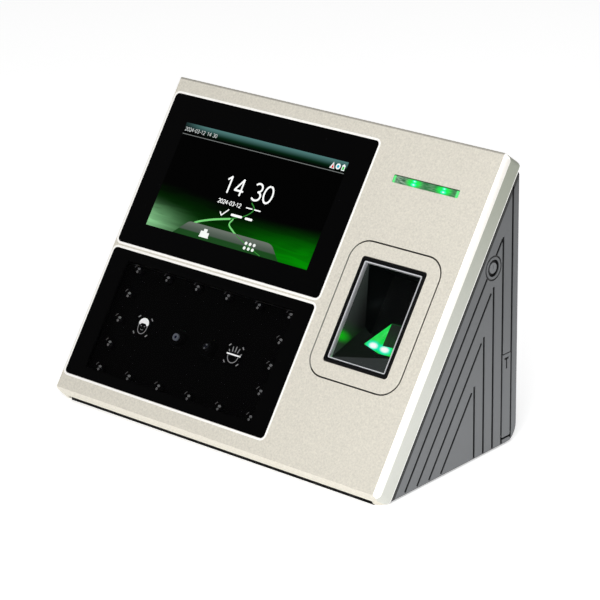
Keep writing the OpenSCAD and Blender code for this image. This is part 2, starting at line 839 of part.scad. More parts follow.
module lamp_ribbon() {
    start = [world_y(sensor_v + 12, 7.6), world_z(sensor_v + 12, 7.6)];
    ribbon(window_x, 12, [start, [start[0] + 12, start[1] - 2], [board_y - 6, board_low + 3],
        [board_y - 0.8, board_low + 5]]);
}

module reader_ribbon() {
    color([0.8, 0.8, 0.78]) from_front() {
        block([board_right - 8, board_y - 0.9, 25], [board_right - 2, board_y - 0.6, 33]);
        block([board_right - 8, board_y - 6, 25], [reader_x - 10, board_y - 5.7, 33]);
        block([board_right - 8, board_y - 5.75, 25], [board_right - 7.7, board_y - 0.65, 33]);
    }
}

// ---------------------------------------------------------------- power button
cap_out = case_x - 0.25;
ring_back = case_x - 3;

module button_ring() {
    color(black) from_front() translate([ring_back, button_y, button_z]) rotate([0, 90, 0]) difference() {
        union() {
            cylinder(r = well_r - 0.05, h = case_x - 1 - ring_back);
            translate([0, 0, -0.6]) cylinder(r = well_r + 1.4, h = 1.3);
        }
        translate([0, 0, -2]) cylinder(r = button_r + 0.08, h = 10);
    }
}

plunger_front = ring_back - 3.2;

module power_button() {
    color(case_grey) from_front() translate([0, button_y, button_z]) rotate([0, 90, 0]) difference() {
        union() {
            translate([0, 0, ring_back - 1]) cylinder(r = button_r, h = cap_out - ring_back + 1);
            translate([0, 0, ring_back - 2.4]) cylinder(r = button_r + 1, h = 1.5);
            translate([0, 0, plunger_front + 0.05]) cylinder(r = 1, h = 1);
        }
        // short mark on the cap
        translate([-1.3, -0.2, cap_out - 0.2]) cube([1.6, 0.4, 1]);
    }
}

module switch_plunger() {
    color(black) from_front() translate([plunger_front - 1.4, button_y, button_z]) rotate([0, 90, 0])
        cylinder(r = 1.6, h = 1.4);
}

module button_board() {
    x = plunger_front - 1.4 - button_travel - 0.3;
    color(board_green) from_front() difference() {
        union() {
            block([x - 4.6, button_y - 6, button_z - 10], [x - 3.4, button_y + 6, button_z + 6]);
            block([x - 3.45, button_y - 3.1, button_z - 3.1], [x + 0.5, button_y + 3.1, button_z + 3.1]);
        }
        translate([x - 0.3, button_y, button_z]) rotate([0, 90, 0]) cylinder(r = 1.65, h = 3);
    }
}

// ---------------------------------------------------------------- port flap
pin_x = case_x - 1.2;

module port_flap() {
    color(case_grey) from_front() difference() {
        union() {
            block([case_x - flap_t, flap_lo_y, flap_hinge_z], [case_x, flap_hi_y, flap_top]);
            translate([pin_x, flap_lo_y, flap_hinge_z]) rotate([-90, 0, 0])
                cylinder(r = 1.2, h = flap_hi_y - flap_lo_y);
        }
        translate([pin_x, flap_lo_y - 1, flap_hinge_z]) rotate([-90, 0, 0])
            cylinder(r = flap_pin_r + 0.06, h = 10);
        // T-shaped nail grip
        block([case_x - 0.7, usb_mid_y - 1.6, flap_top - 2.6], [case_x + 1, usb_mid_y + 1.6, flap_top - 1.6]);
        block([case_x - 0.7, usb_mid_y - 0.5, flap_top - 7], [case_x + 1, usb_mid_y + 0.5, flap_top - 2.5]);
        // lower outer corner stays inside the pin's circle
        block([case_x - flap_t - 1, flap_lo_y - 1, flap_hinge_z - 3],
            [case_x - flap_t, flap_hi_y + 1, flap_hinge_z + 0.2]);
    }
}

module flap_pin() {
    color(steel) from_front() translate([pin_x, flap_lo_y - 2.2, flap_hinge_z]) rotate([-90, 0, 0])
        cylinder(r = flap_pin_r, h = flap_hi_y - flap_lo_y + 4.4);
}

// ---------------------------------------------------------------- wall plate
plate_y = recess_floor + 0.3;
plate_low = recess_top - plate_h - 0.5;
plate_hole_r = 2.2;
plate_mid_z = plate_low + plate_h / 2 + 3;

module wall_plate() {
    color(steel) from_front() difference() {
        union() {
            translate([-plate_w / 2, plate_y + plate_t, plate_low]) rotate([90, 0, 0])
                linear_extrude(plate_t) polygon(round_rect(plate_w, plate_h, 3, 3));
            for (side = [-1, 1]) for (z = hook_z) {
                block([side * hook_x - hook_half, plate_y - hook_in - hook_t, z],
                    [side * hook_x + hook_half, plate_y + 0.1, z + hook_t]);
                block([side * hook_x - hook_half, plate_y - hook_in - hook_t, z],
                    [side * hook_x + hook_half, plate_y - hook_in, z + hook_rise]);
            }
        }
        for (sx = [-1, 1]) for (sz = [-1, 1])
            translate([sx * plate_hole_x / 2, plate_y - 1, plate_mid_z + sz * plate_hole_z / 2])
                rotate([-90, 0, 0]) cylinder(r = plate_hole_r, h = 5);
        block([-bay_w / 2, plate_y - 1, bay_low - 1], [bay_w / 2, body_d, bay_high + 1]);
        block([-channel_w / 2 - 1, plate_y - 1, plate_low - 1], [channel_w / 2 + 1, body_d, bay_low + 1]);
    }
}

// ---------------------------------------------------------------- feet
module front_foot() {
    color(black) from_front()
        block([-half_w + toe_w + 0.3, 5.6, 0], [half_w - toe_w - 0.3, 9.4, foot_h + toe_lift + 0.2]);
}

module rear_feet() {
    color(black) from_front() for (side = [-1, 1])
        translate([side * 78, body_d - 20, 0]) cylinder(r = 6, h = foot_h);
}

front_cover();
display_window();
sensor_window();
lcd_panel();
lcd_bracket();
ir_lamp_board();
ir_lamps();
ir_camera();
colour_camera();
camera_board();
status_light_bar();
status_light_board();
reader_surround();
reader_rubber();
reader_trim();
reader_prism();
reader_tub();
reader_board();
reader_lamps();
card_antenna();
front_seal();
chassis_plate();
cover_screws();
rear_housing();
housing_screws();
main_board();
heat_sink();
door_relay();
clock_cell();
ethernet_jack();
power_jack();
terminal_block();
usb_board();
usb_port();
loudspeaker();
backup_battery();
battery_strap();
display_ribbon();
reader_ribbon();
lamp_ribbon();
button_ring();
button_board();
power_button();
switch_plunger();
port_flap();
flap_pin();
wall_plate();
front_foot();
rear_feet();
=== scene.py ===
import json
import math

import bmesh
import bpy
import numpy as np
from bpy.props import FloatProperty, FloatVectorProperty, PointerProperty, StringProperty
from mathutils import Matrix, Vector

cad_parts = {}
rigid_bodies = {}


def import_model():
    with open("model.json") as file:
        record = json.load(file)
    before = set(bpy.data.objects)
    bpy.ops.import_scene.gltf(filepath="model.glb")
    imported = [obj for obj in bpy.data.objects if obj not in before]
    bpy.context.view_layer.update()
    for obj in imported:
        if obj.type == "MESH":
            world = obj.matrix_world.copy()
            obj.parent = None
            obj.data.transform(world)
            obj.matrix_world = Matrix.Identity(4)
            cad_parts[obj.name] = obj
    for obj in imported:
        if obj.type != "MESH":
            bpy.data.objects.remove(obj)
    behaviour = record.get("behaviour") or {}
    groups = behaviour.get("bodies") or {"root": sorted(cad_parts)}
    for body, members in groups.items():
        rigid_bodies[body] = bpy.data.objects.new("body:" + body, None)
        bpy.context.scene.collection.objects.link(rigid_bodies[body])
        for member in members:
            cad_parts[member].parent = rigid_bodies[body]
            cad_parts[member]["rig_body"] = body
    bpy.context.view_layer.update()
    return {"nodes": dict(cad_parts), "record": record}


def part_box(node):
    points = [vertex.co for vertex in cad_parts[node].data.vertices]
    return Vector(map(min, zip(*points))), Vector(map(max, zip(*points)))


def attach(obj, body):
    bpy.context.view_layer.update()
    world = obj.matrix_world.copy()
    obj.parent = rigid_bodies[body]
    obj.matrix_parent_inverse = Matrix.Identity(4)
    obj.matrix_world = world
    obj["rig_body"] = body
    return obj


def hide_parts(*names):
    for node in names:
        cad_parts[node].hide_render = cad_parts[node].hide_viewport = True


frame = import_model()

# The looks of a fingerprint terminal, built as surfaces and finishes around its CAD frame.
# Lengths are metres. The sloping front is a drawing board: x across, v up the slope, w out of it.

bl_info = {
    "name": "Fingerprint Terminal Looks",
    "version": (1, 0, 0),
    "blender": (4, 5, 0),
    "location": "View3D > Sidebar > Terminal",
    "description": "Builds the surfaces, prints and finishes of a fingerprint terminal on its frame",
    "category": "Object",
}

MM = 0.001
PER_METRE = 1000.0                     # turns metres into millimetres
WELD = 0.002 * MM                      # points closer than this are one point
SHARP_ANGLE = math.radians(35.0)       # edges past this stay sharp in the shading
BEVEL_ANGLE = math.radians(30.0)       # edges past this are rounded by a bevel
FLAT_ANGLE = math.radians(0.4)         # faces that differ less than this are one flat face
CORNER_STEPS = 9                       # points on a round corner
TURN_STEPS = 32                        # points round a turned shape
SPAN_STEPS = 12                        # points on each span of a smooth curve
NODES = frame["nodes"]
SLOT_OF = {part["node"]: part["material_slot"] for part in frame["record"]["subparts"]}


def tone(red, green, blue):
    """A screen colour from 0 to 255 as linear light: each channel to the power of 2.2."""
    return tuple((channel / 255) ** 2.2 for channel in (red, green, blue))


# ---------------------------------------------------------------- places

def vertex_places(mesh):
    """All of a mesh's vertices as an array with one row each."""
    places = np.empty(len(mesh.vertices) * 3)
    mesh.vertices.foreach_get("co", places)
    return places.reshape(-1, 3)


class Face:
    """The sloping front as a drawing board, found from the display window and the cover."""

    def __init__(self, pane, cover):
        """The pane's largest forward face gives the way out; the cover's front edge gives v = 0."""
        mesh = NODES[pane].data
        area = np.empty(len(mesh.polygons))
        normal = np.empty(len(mesh.polygons) * 3)
        mesh.polygons.foreach_get("area", area)
        mesh.polygons.foreach_get("normal", normal)
        normal = normal.reshape(-1, 3)
        front = int(np.argmax(area * (normal[:, 1] < -0.2)))
        corner = mesh.vertices[mesh.polygons[front].vertices[0]].co
        self.out = normal[front]
        self.up = np.array([0.0, self.out[2], -self.out[1]])
        edge_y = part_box(cover)[0].y
        edge_z = corner.z - self.out[1] * (edge_y - corner.y) / self.out[2]
        self.origin = np.array([0.0, edge_y, edge_z])
        self.turn = math.atan2(self.up[2], self.up[1])

    def at(self, x, v, w):
        """World points: the origin, plus x across, v times the way up and w times the way out."""
        x, v, w = np.broadcast_arrays(x, v, w)
        across = np.array([1.0, 0.0, 0.0])
        return self.origin + x[..., None] * across + v[..., None] * self.up + w[..., None] * self.out

    def read(self, places):
        """World points as x, v and w, by their shares along the three directions."""
        away = places - self.origin
        return np.stack([away[:, 0], away @ self.up, away @ self.out], 1)

    def extent(self, node):
        """The lowest and highest x, v and w of a CAD node."""
        local = self.read(vertex_places(NODES[node].data))
        return local.min(0), local.max(0)

    def spot(self, node):
        """The centre of a CAD node on the board, as x and v."""
        low, high = self.extent(node)
        return (low[:2] + high[:2]) / 2


FACE = Face("display_window", "front_cover")


# ---------------------------------------------------------------- surfaces

class Pile:
    """Grids of points gathered into one piece."""

    def __init__(self):
        self.points = []
        self.faces = []
        self.count = 0

    def grid(self, points, wrap_rows=False, wrap_columns=False, caps=False):
        """Adds rows and columns of points; each cell between four neighbours is one face."""
        rows, columns = points.shape[:2]
        index = self.count + np.arange(rows * columns).reshape(rows, columns)
        if caps:
            self.faces += [index[0, ::-1].tolist(), index[-1].tolist()]
        if wrap_rows:
            index = np.vstack([index, index[:1]])
        if wrap_columns:
            index = np.hstack([index, index[:, :1]])
        cells = [index[:-1, :-1], index[:-1, 1:], index[1:, 1:], index[1:, :-1]]
        self.faces += np.stack(cells, -1).reshape(-1, 4).tolist()
        self.points.append(points.reshape(-1, 3))
        self.count += rows * columns

    def mesh(self, name):
        """The gathered grids as they are, as one mesh."""
        mesh = bpy.data.meshes.new(name)
        mesh.from_pydata(np.concatenate(self.points).tolist(), [], self.faces)
        return mesh

    def make(self, name, material, slot):
        """The gathered grids as one piece of the terminal, doubles merged and faces outwards."""
        mesh = self.mesh(name)
        shell = bmesh.new()
        shell.from_mesh(mesh)
        bmesh.ops.remove_doubles(shell, verts=shell.verts, dist=WELD)
        bmesh.ops.recalc_face_normals(shell, faces=shell.faces)
        shell.to_mesh(mesh)
        shell.free()
        return place(name, mesh, "terminal", material)


def place(name, mesh, body, material):
    """Links a finished mesh as a piece that rides on a body; edges past SHARP_ANGLE stay sharp."""
    mesh.materials.append(material)
    mesh.shade_smooth()
    mesh.set_sharp_from_angle(angle=SHARP_ANGLE)
    piece = bpy.data.objects.new(name, mesh)
    bpy.context.scene.collection.objects.link(piece)
    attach(piece, body)
    return piece


def round_edges(piece, width, segments):
    """A Bevel modifier on every edge sharper than BEVEL_ANGLE, with flat faces kept flat."""
    bevel = piece.modifiers.new("rounded edges", "BEVEL")
    bevel.width = width
    bevel.segments = segments
    bevel.limit_method = "ANGLE"
    bevel.angle_limit = BEVEL_ANGLE
    bevel.harden_normals = True
    bevel.miter_outer = "MITER_ARC"


def softened(node, name, width, segments):
    """A copy of a CAD node with its doubles merged and its flat parts cut anew, then its edges
    rounded."""
    source = NODES[node].data
    mesh = bpy.data.meshes.new(name)
    corners = np.empty(len(source.loops), int)
    source.loops.foreach_get("vertex_index", corners)
    mesh.from_pydata(vertex_places(source).tolist(), [], corners.reshape(-1, 3).tolist())
    shell = bmesh.new()
    shell.from_mesh(mesh)
    bmesh.ops.remove_doubles(shell, verts=shell.verts, dist=WELD)
    bmesh.ops.dissolve_limit(
        shell, angle_limit=FLAT_ANGLE, verts=shell.verts, edges=shell.edges)
    bmesh.ops.triangulate(shell, faces=shell.faces)
    shell.to_mesh(mesh)
    shell.free()
    slot = SLOT_OF[node]
    piece = place(name, mesh, NODES[node]["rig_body"], finish_of(slot))
    round_edges(piece, width, segments)
    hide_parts(node)
    return piece


def rounded(centre, size, radius, grow=0.0):
    """A rectangle's outline with round corners: each corner's centre plus a radius turned through
    a quarter circle. grow moves the whole line outwards."""
    half = np.array(size) / 2 - radius
    corners = np.array([[1, 1], [-1, 1], [-1, -1], [1, -1]]) * half
    turn = np.linspace(0, math.pi / 2, CORNER_STEPS) + np.arange(4)[:, None] * math.pi / 2
    reach = max(radius + grow, 0.0)
    arcs = corners[:, None, :] + reach * np.stack([np.cos(turn), np.sin(turn)], -1)
    return np.array(centre) + arcs.reshape(-1, 2)


def rim(pile, centre, size, radius, section):
    """A closed section of (grow, w) points, carried round a rectangle with round corners."""
    lines = np.stack([rounded(centre, size, radius, grow) for grow, _ in section])
    heights = np.array([w for _, w in section])[:, None]
    pile.grid(FACE.at(lines[..., 0], lines[..., 1], heights), True, True)


def slab(pile, outline, w_low, w_high, centre=None):
    """A flat plate: rows go from the middle to the edge at the back, and back at the front."""
    middle = outline.mean(0) if centre is None else np.array(centre)
    share = np.array([0.0, 1.0, 1.0, 0.0])[:, None, None]
    lines = middle + share * (outline - middle)
    heights = np.array([w_low, w_low, w_high, w_high])[:, None]
    pile.grid(FACE.at(lines[..., 0], lines[..., 1], heights), False, True)


def even(path, step):
    """A path's points spread evenly along it, about a step apart."""
    lengths = np.r_[0, np.cumsum(np.linalg.norm(np.diff(path, axis=0), axis=1))]
    count = max(int(lengths[-1] / step), 4)
    along = np.linspace(0, lengths[-1], count)
    return np.stack([np.interp(along, lengths, path[:, k]) for k in (0, 1)], 1), along


def stroke(pile, path, width, w_low, w_high):
    """A printed line with round ends: the path plus and minus its side direction times half the
    width, which falls as a quarter circle towards each end."""
    points, along = even(np.array(path, float), width / 6)
    ahead = np.gradient(points, axis=0)
    ahead /= np.linalg.norm(ahead, axis=1)[:, None]
    side = np.stack([-ahead[:, 1], ahead[:, 0]], 1)
    radius = width / 2
    inset = np.clip(np.minimum(along, along[-1] - along), 0, radius)
    half = np.sqrt(radius ** 2 - (radius - inset) ** 2)[:, None] + 0.02 * radius
    left, right = points + side * half, points - side * half
    lines = np.stack([left, right, right, left], 1)
    heights = np.array([w_low, w_low, w_high, w_high])[None, :]
    pile.grid(FACE.at(lines[..., 0], lines[..., 1], heights), False, True, True)


def turned(pile, centre, axis, profile):
    """A profile of (radius, height) turned about an axis through the centre."""
    axis = np.array(axis) / np.linalg.norm(axis)
    first = np.cross(axis, [0.0, 0.0, 1.0] if abs(axis[2]) < 0.9 else [1.0, 0.0, 0.0])
    first /= np.linalg.norm(first)
    second = np.cross(axis, first)
    angle = np.linspace(0, 2 * math.pi, TURN_STEPS, endpoint=False)
    ring = np.cos(angle)[:, None] * first + np.sin(angle)[:, None] * second
    radius, height = np.array(profile).T
    points = np.array(centre) + radius[:, None, None] * ring + height[:, None, None] * axis
    pile.grid(points, False, True)


def arc(centre, radii, start, end, steps=16):
    """Points of an ellipse's arc from one angle in degrees to another."""
    turn = np.radians(np.linspace(start, end, steps))
    return np.array(centre) + np.stack([np.cos(turn), np.sin(turn)], 1) * np.array(radii)


# ---------------------------------------------------------------- finishes

class Signal:
    """A value in a material's nodes; an expression on signals adds its Math nodes."""

    def __init__(self, recipe, socket):
        self.recipe = recipe
        self.socket = socket

    def __add__(self, other):
        return self.recipe.math("ADD", self, other)

    __radd__ = __add__

    def __sub__(self, other):
        return self.recipe.math("SUBTRACT", self, other)

    def __rsub__(self, other):
        return self.recipe.math("SUBTRACT", other, self)

    def __mul__(self, other):
        return self.recipe.math("MULTIPLY", self, other)

    __rmul__ = __mul__

    def __truediv__(self, other):
        return self.recipe.math("DIVIDE", self, other)

    def __pow__(self, other):
        return self.recipe.math("POWER", self, other)

    def __abs__(self):
        return self.recipe.math("ABSOLUTE", self)

    def between(self, low, high):
        """0 below low, 1 above high, and a smooth step between them."""
        return self.recipe.take("ShaderNodeMapRange", {"interpolation_type": "SMOOTHSTEP"},
                                {"Value": self, "From Min": low, "From Max": high}, "Result")

    def falls(self, low, high):
        """1 below low, 0 above high."""
        return 1.0 - self.between(low, high)


class Recipe:
    """A new material and the means to build its nodes."""

    def __init__(self, name):
        self.material = bpy.data.materials.new(name)
        self.material.use_nodes = True
        self.tree = self.material.node_tree
        self.tree.nodes.clear()
        self.shader = self.tree.nodes.new("ShaderNodeBsdfPrincipled")
        output = self.tree.nodes.new("ShaderNodeOutputMaterial")
        self.tree.links.new(self.shader.outputs[0], output.inputs["Surface"])

    def node(self, kind, settings=None, sockets=None):
        """Adds a node: its settings first, then a value or a link for each socket."""
        made = self.tree.nodes.new(kind)
        for key, value in (settings or {}).items():
            setattr(made, key, value)
        for key, value in (sockets or {}).items():
            self.feed(made.inputs[key], value)
        return made

    def take(self, kind, settings, sockets, output):
        """Adds a node and returns one of its outputs as a signal."""
        return Signal(self, self.node(kind, settings, sockets).outputs[output])

    def feed(self, socket, value):
        """Links a signal to a socket, or sets the socket's own value."""
        if isinstance(value, Signal):
            self.tree.links.new(value.socket, socket)
        else:
            socket.default_value = value

    def math(self, operation, first, second=None):
        """One Math node on one or two values."""
        sockets = {0: first} if second is None else {0: first, 1: second}
        return self.take("ShaderNodeMath", {"operation": operation}, sockets, 0)

    def mix(self, first, second, factor):
        """A colour between two colours."""
        first, second = (c if isinstance(c, Signal) else (*c[:3], 1.0) for c in (first, second))
        return self.take("ShaderNodeMix", {"data_type": "RGBA"},
                         {0: factor, 6: first, 7: second}, 2)

    def scaled(self, colour, amount):
        """A colour times a value."""
        colour = colour if isinstance(colour, Signal) else tuple(colour[:3])
        return self.take("ShaderNodeVectorMath", {"operation": "SCALE"},
                         {0: colour, "Scale": amount}, 0)

    def place(self):
        """The object's own coordinates."""
        return self.take("ShaderNodeTexCoord", {}, {}, "Object")

    def mapped(self, vector, location=(0, 0, 0), rotation=(0, 0, 0), scale=(1, 1, 1), kind="POINT"):
        """Coordinates moved, turned and stretched."""
        return self.take("ShaderNodeMapping", {"vector_type": kind}, {
            "Vector": vector, "Location": location, "Rotation": rotation, "Scale": scale}, 0)

    def on_face(self):
        """Coordinates on the drawing board: x, v and w as one vector."""
        return self.mapped(self.place(), tuple(FACE.origin), (FACE.turn, 0, 0), kind="TEXTURE")

    def parts(self, vector):
        """The three values of a vector."""
        split = self.node("ShaderNodeSeparateXYZ", {}, {0: vector})
        return [Signal(self, split.outputs[k]) for k in range(3)]

    def board(self):
        """A point's x, v and w on the drawing board."""
        return self.parts(self.on_face())

    def noise(self, vector, scale, detail=3.0, roughness=0.5):
        """Cloudy noise from about 0 to 1, scale patches to the metre."""
        return self.take("ShaderNodeTexNoise", {"noise_dimensions": "3D"}, {
            "Vector": vector, "Scale": scale, "Detail": detail, "Roughness": roughness}, 0)

    def cells(self, vector, scale, feature):
        """Cell noise: the distance to the nearest of many scattered points, or to a cell's edge."""
        return self.take("ShaderNodeTexVoronoi", {"feature": feature},
                         {"Vector": vector, "Scale": scale}, "Distance")

    def edges(self, radius):
        """1 on edges and 0 on flats: how far the rounded normal leans from the true one."""
        rounded_normal = self.take("ShaderNodeBevel", {"samples": 4}, {"Radius": radius}, 0)
        normal = self.take("ShaderNodeNewGeometry", {}, {}, "Normal")
        dot = self.take("ShaderNodeVectorMath", {"operation": "DOT_PRODUCT"},
                        {0: rounded_normal, 1: normal}, "Value")
        return (1.0 - dot).between(0.02, 0.3)

    def bump(self, height, strength, distance):
        """Feeds a height to the shader's normal."""
        normal = self.take("ShaderNodeBump", {}, {
            "Height": height, "Strength": strength, "Distance": distance}, 0)
        self.feed(self.shader.inputs["Normal"], normal)

    def finish(self, **sockets):
        """Sets or links the shader's sockets, named with underscores for spaces."""
        for key, value in sockets.items():
            if isinstance(value, tuple) and len(value) == 3:
                value = (*value, 1.0)
            self.feed(self.shader.inputs[key.replace("_", " ")], value)
        return self.material


def plastic(name, colour, rough, grain=3200.0, depth=0.02 * MM, mottle=0.06, wear=0.25, level=0.5):
    """Moulded plastic: fine grain in the surface, soft colour patches, paler edges."""
    recipe = Recipe(name)
    spot = recipe.place()
    patches = recipe.noise(spot, 45.0, 4.0)
    fine = recipe.noise(spot, grain, 2.0)
    pale = tuple(min(1.0, c * 1.5 + 0.03) for c in colour)
    tint = recipe.scaled(colour, 1.0 - mottle + patches * mottle * 2.0)
    worn = recipe.edges(0.35 * MM) * patches.between(0.35, 0.65) * wear if wear else 0.0
    recipe.bump(fine, 0.5, depth)
    return recipe.finish(
        Base_Color=recipe.mix(tint, pale, worn),
        Roughness=rough - 0.05 + fine * 0.06 + patches * 0.06,
        Specular_IOR_Level=level)


def rubber(name, colour, rough, wear, level):
    """Rubber: plastic with a coarser, deeper grain."""
    return plastic(name, colour, rough, 2400.0, 0.03 * MM, 0.1, wear, level)


# Depths under the housing's flat side at which a groove's painted highlight on its lip and its
# painted shade fade in and out, and how far behind the cover's back edge the seam's painted
# shadow band begins and is full.
GROOVE_LIP_HIGHLIGHT = (0.01 * MM, 0.05 * MM, 0.12 * MM, 0.2 * MM)
GROOVE_SHADE = (0.12 * MM, 0.5 * MM, 1.6 * MM, 2.2 * MM)
SEAM_SHADOW = (2.8 * MM, 2.5 * MM)


def housing_plastic(name, colour):
    """The housing's plastic: moulded grain, with painted shade that is dark in the grooves and the
    seam and darker with height, and a painted highlight on the grooves' lips."""
    recipe = Recipe(name)
    spot = recipe.place()
    x, _, z = recipe.parts(spot)
    _, _, w = recipe.board()
    side = max(abs(c.x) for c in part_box("rear_housing"))
    seam = float(FACE.extent("front_cover")[0][2])
    depth = side - abs(x)
    # painted highlight on the grooves' lips, painted shade in the grooves, painted shadow along the
    # seam
    lip = depth.between(*GROOVE_LIP_HIGHLIGHT[:2]) * depth.falls(*GROOVE_LIP_HIGHLIGHT[2:])
    painted_groove_and_seam_shade = depth.between(*GROOVE_SHADE[:2]) * depth.falls(*GROOVE_SHADE[2:])
    painted_groove_and_seam_shade = recipe.math("MAXIMUM", painted_groove_and_seam_shade, w.between(seam - SEAM_SHADOW[0], seam - SEAM_SHADOW[1]))
    patches = recipe.noise(spot, 40.0, 4.0)
    fine = recipe.noise(spot, 3200.0, 2.0)
    shade = (0.96 + patches * 0.08) * (1.0 + lip * 0.35) * (1.0 - painted_groove_and_seam_shade * 0.95)
    # painted shade: the housing grows darker with height
    shade = shade * (1.1 - z.between(0.0, 0.1) * 0.34) * (1.0 - z.between(0.1, 0.14) * 0.4)
    recipe.bump(fine, 0.5, 0.02 * MM)
    return recipe.finish(Base_Color=recipe.scaled(colour, shade),
                         Roughness=0.44 + fine * 0.06 + patches * 0.06)


def over(x, v, node, grow):
    """1 over a CAD node's box on the drawing board, made larger by grow, and 0 outside it: the
    product of a step up at each low edge and a step down at each high edge."""
    low, high = (edge.tolist() for edge in FACE.extent(node))
    soft, inside = 0.1 * MM, 1.0
    for way, first, last in ((x, low[0] - grow, high[0] + grow), (v, low[1] - grow, high[1] + grow)):
        inside = way.between(first, first + soft) * way.falls(last - soft, last) * inside
    return inside


def paint(name, colour, rough, metallic=0.15, flake=0.2, rim=None):
    """Champagne paint with metal flakes: tiny pale and dark specks over a very fine orange peel.
    With a rim, it has painted shade near the rim's height on the drawing board, is black under the
    sensor window, and has painted shade, near black, in the gap round the reader."""
    recipe = Recipe(name)
    spot = recipe.place()
    specks = recipe.noise(spot, 1000.0, 3.0, 0.75)
    peel = recipe.noise(spot, 500.0, 2.0)
    patches = recipe.noise(spot, 18.0, 3.0)
    pale = tuple(min(1.0, c * 1.12 + 0.02) for c in colour)
    shade = 1.0 - flake + specks * flake * 2.0 + patches * 0.03
    worn = recipe.edges(0.3 * MM) * patches.between(0.3, 0.7) * 0.3
    if rim is not None:
        x, v, w = recipe.board()
        # painted shade: darker and unworn near the top edge
        painted_top_shade = v.between(rim - 1.3 * MM, rim - 0.8 * MM)
        shade, worn = shade * (1.0 - painted_top_shade * 0.45), worn * (1.0 - painted_top_shade)
        pane_back = float(FACE.extent("sensor_window")[0][2])
        behind = over(x, v, "sensor_window", 0.0) * w.falls(pane_back + 0.05 * MM, pane_back + 0.1 * MM)
        # painted shade: the walls of the gap round the reader go near black
        painted_gap_shade = over(x, v, "reader_surround", 0.9 * MM) * w.falls(-0.4 * MM, -0.1 * MM)
        shade = shade * (1.0 - behind * 0.99) * (1.0 - painted_gap_shade * 0.92)
    recipe.bump(specks + peel * 0.6, 0.35, 0.014 * MM)
    return recipe.finish(
        Base_Color=recipe.mix(recipe.scaled(colour, shade), pale, worn),
        Roughness=rough - 0.05 + specks * 0.1 + patches * 0.03,
        Metallic=metallic, Specular_IOR_Level=0.4)


def metal(name, colour, rough, stretch=(1, 12, 1), scale=260.0, wear=0.0, share=1.0):
    """Brushed or rolled metal: streaks drawn out along one way, with faint cloudy stains."""
    recipe = Recipe(name)
    spot = recipe.place()
    streaks = recipe.noise(recipe.mapped(spot, scale=stretch), scale, 5.0, 0.65)
    stains = recipe.noise(spot, 30.0, 4.0)
    tint = recipe.scaled(colour, 0.86 + streaks * 0.2 + stains * 0.08)
    if wear:
        pale = tuple(min(1.0, c * 1.3 + 0.05) for c in colour)
        tint = recipe.mix(tint, pale, recipe.edges(0.3 * MM) * wear)
    recipe.bump(streaks, 0.25, 0.01 * MM)
    return recipe.finish(Base_Color=tint, Metallic=share,
                         Roughness=rough - 0.06 + streaks * 0.14 + stains * 0.06)


def circuit(name, mask, copper):
    """A circuit board: solder mask over straight tracks, with tinned pads scattered between."""
    recipe = Recipe(name)
    spot = recipe.place()
    drawn_out = recipe.mapped(spot, scale=(1.0, 0.4, 1.0))
    tracks = recipe.cells(drawn_out, 420.0, "DISTANCE_TO_EDGE").falls(0.05, 0.09)
    pads = recipe.cells(spot, 330.0, "F1").falls(0.16, 0.2)
    zones = recipe.noise(spot, 70.0, 2.0)
    board = recipe.mix(recipe.scaled(mask, 0.8 + zones * 0.4), recipe.scaled(mask, 1.9), tracks)
    dotted = pads * zones.between(0.48, 0.56)
    recipe.bump(tracks + dotted, 0.4, 0.03 * MM)
    return recipe.finish(Base_Color=recipe.mix(board, copper, dotted), Metallic=dotted,
                         Roughness=0.38 - dotted * 0.1 + zones * 0.08)


def pane(name, colour, alpha=None):
    """Polished black glass with faint wiping marks in its gloss."""
    recipe = Recipe(name)
    spot = recipe.on_face()
    wipes = recipe.noise(recipe.mapped(spot, scale=(1, 4, 1)), 22.0, 4.0, 0.6)
    dust = recipe.noise(spot, 900.0, 2.0).between(0.68, 0.8)
    sockets = {"Base_Color": recipe.mix(colour, (0.03, 0.03, 0.032), dust * 0.2),
               "Roughness": 0.05 + wipes.between(0.4, 0.8) * 0.05 + dust * 0.04,
               "Specular_IOR_Level": 0.06}
    if alpha:
        sockets["Alpha"] = alpha(recipe, spot)
    return recipe.finish(**sockets)


PRINT_BORDER = np.array([10.7, 5.4, 0.0]) * MM     # width of the opaque border, each way
PRINT_SHIFT = np.array([0.55, 0.2, 0.0]) * MM      # how far the clear middle is off centre


def sensor_clear(recipe, spot):
    """How solid the sensor pane is: its printed border is opaque and its middle is dark tint."""
    low, high = FACE.extent("sensor_window")
    middle = (low + high) / 2 + PRINT_SHIFT
    half = (high - low) / 2 - PRINT_BORDER
    soft = 0.5 * MM
    x, v, _ = recipe.parts(spot)
    inside = abs(x - middle[0]).falls(half[0], half[0] + soft)
    inside = inside * abs(v - middle[1]).falls(half[1], half[1] + soft)
    return 1.0 - inside * 0.6


def film(name, colour):
    """A flat ribbon cable: fine conductors side by side across its width."""
    recipe = Recipe(name)
    spot = recipe.place()
    x, _, _ = recipe.parts(spot)
    lines = recipe.math("SINE", x * (2 * math.pi / (1.0 * MM))).between(-0.2, 0.4)
    haze = recipe.noise(spot, 160.0, 3.0)
    recipe.bump(lines, 0.3, 0.04 * MM)
    return recipe.finish(Base_Color=recipe.mix(colour, tone(170, 150, 110), lines * 0.5),
                         Roughness=0.35 + haze * 0.15)


def lamp_lens(name):
    """A tinted lamp dome: dark, with a painted highlight that makes it a little paler at its
    crown, and a slight haze.
    """
    recipe = Recipe(name)
    spot = recipe.on_face()
    _, _, w = recipe.parts(spot)
    low, high = FACE.extent("ir_lamps")
    # painted highlight: paler towards the dome's crown
    crown = w.between(float(low[2]), float(high[2]))
    haze = recipe.noise(spot, 700.0, 3.0)
    return recipe.finish(
        Base_Color=recipe.mix(tone(6, 6, 8), tone(20, 20, 24), crown * (0.7 + haze * 0.3)),
        Roughness=0.1 + haze * 0.1, Specular_IOR_Level=0.3)


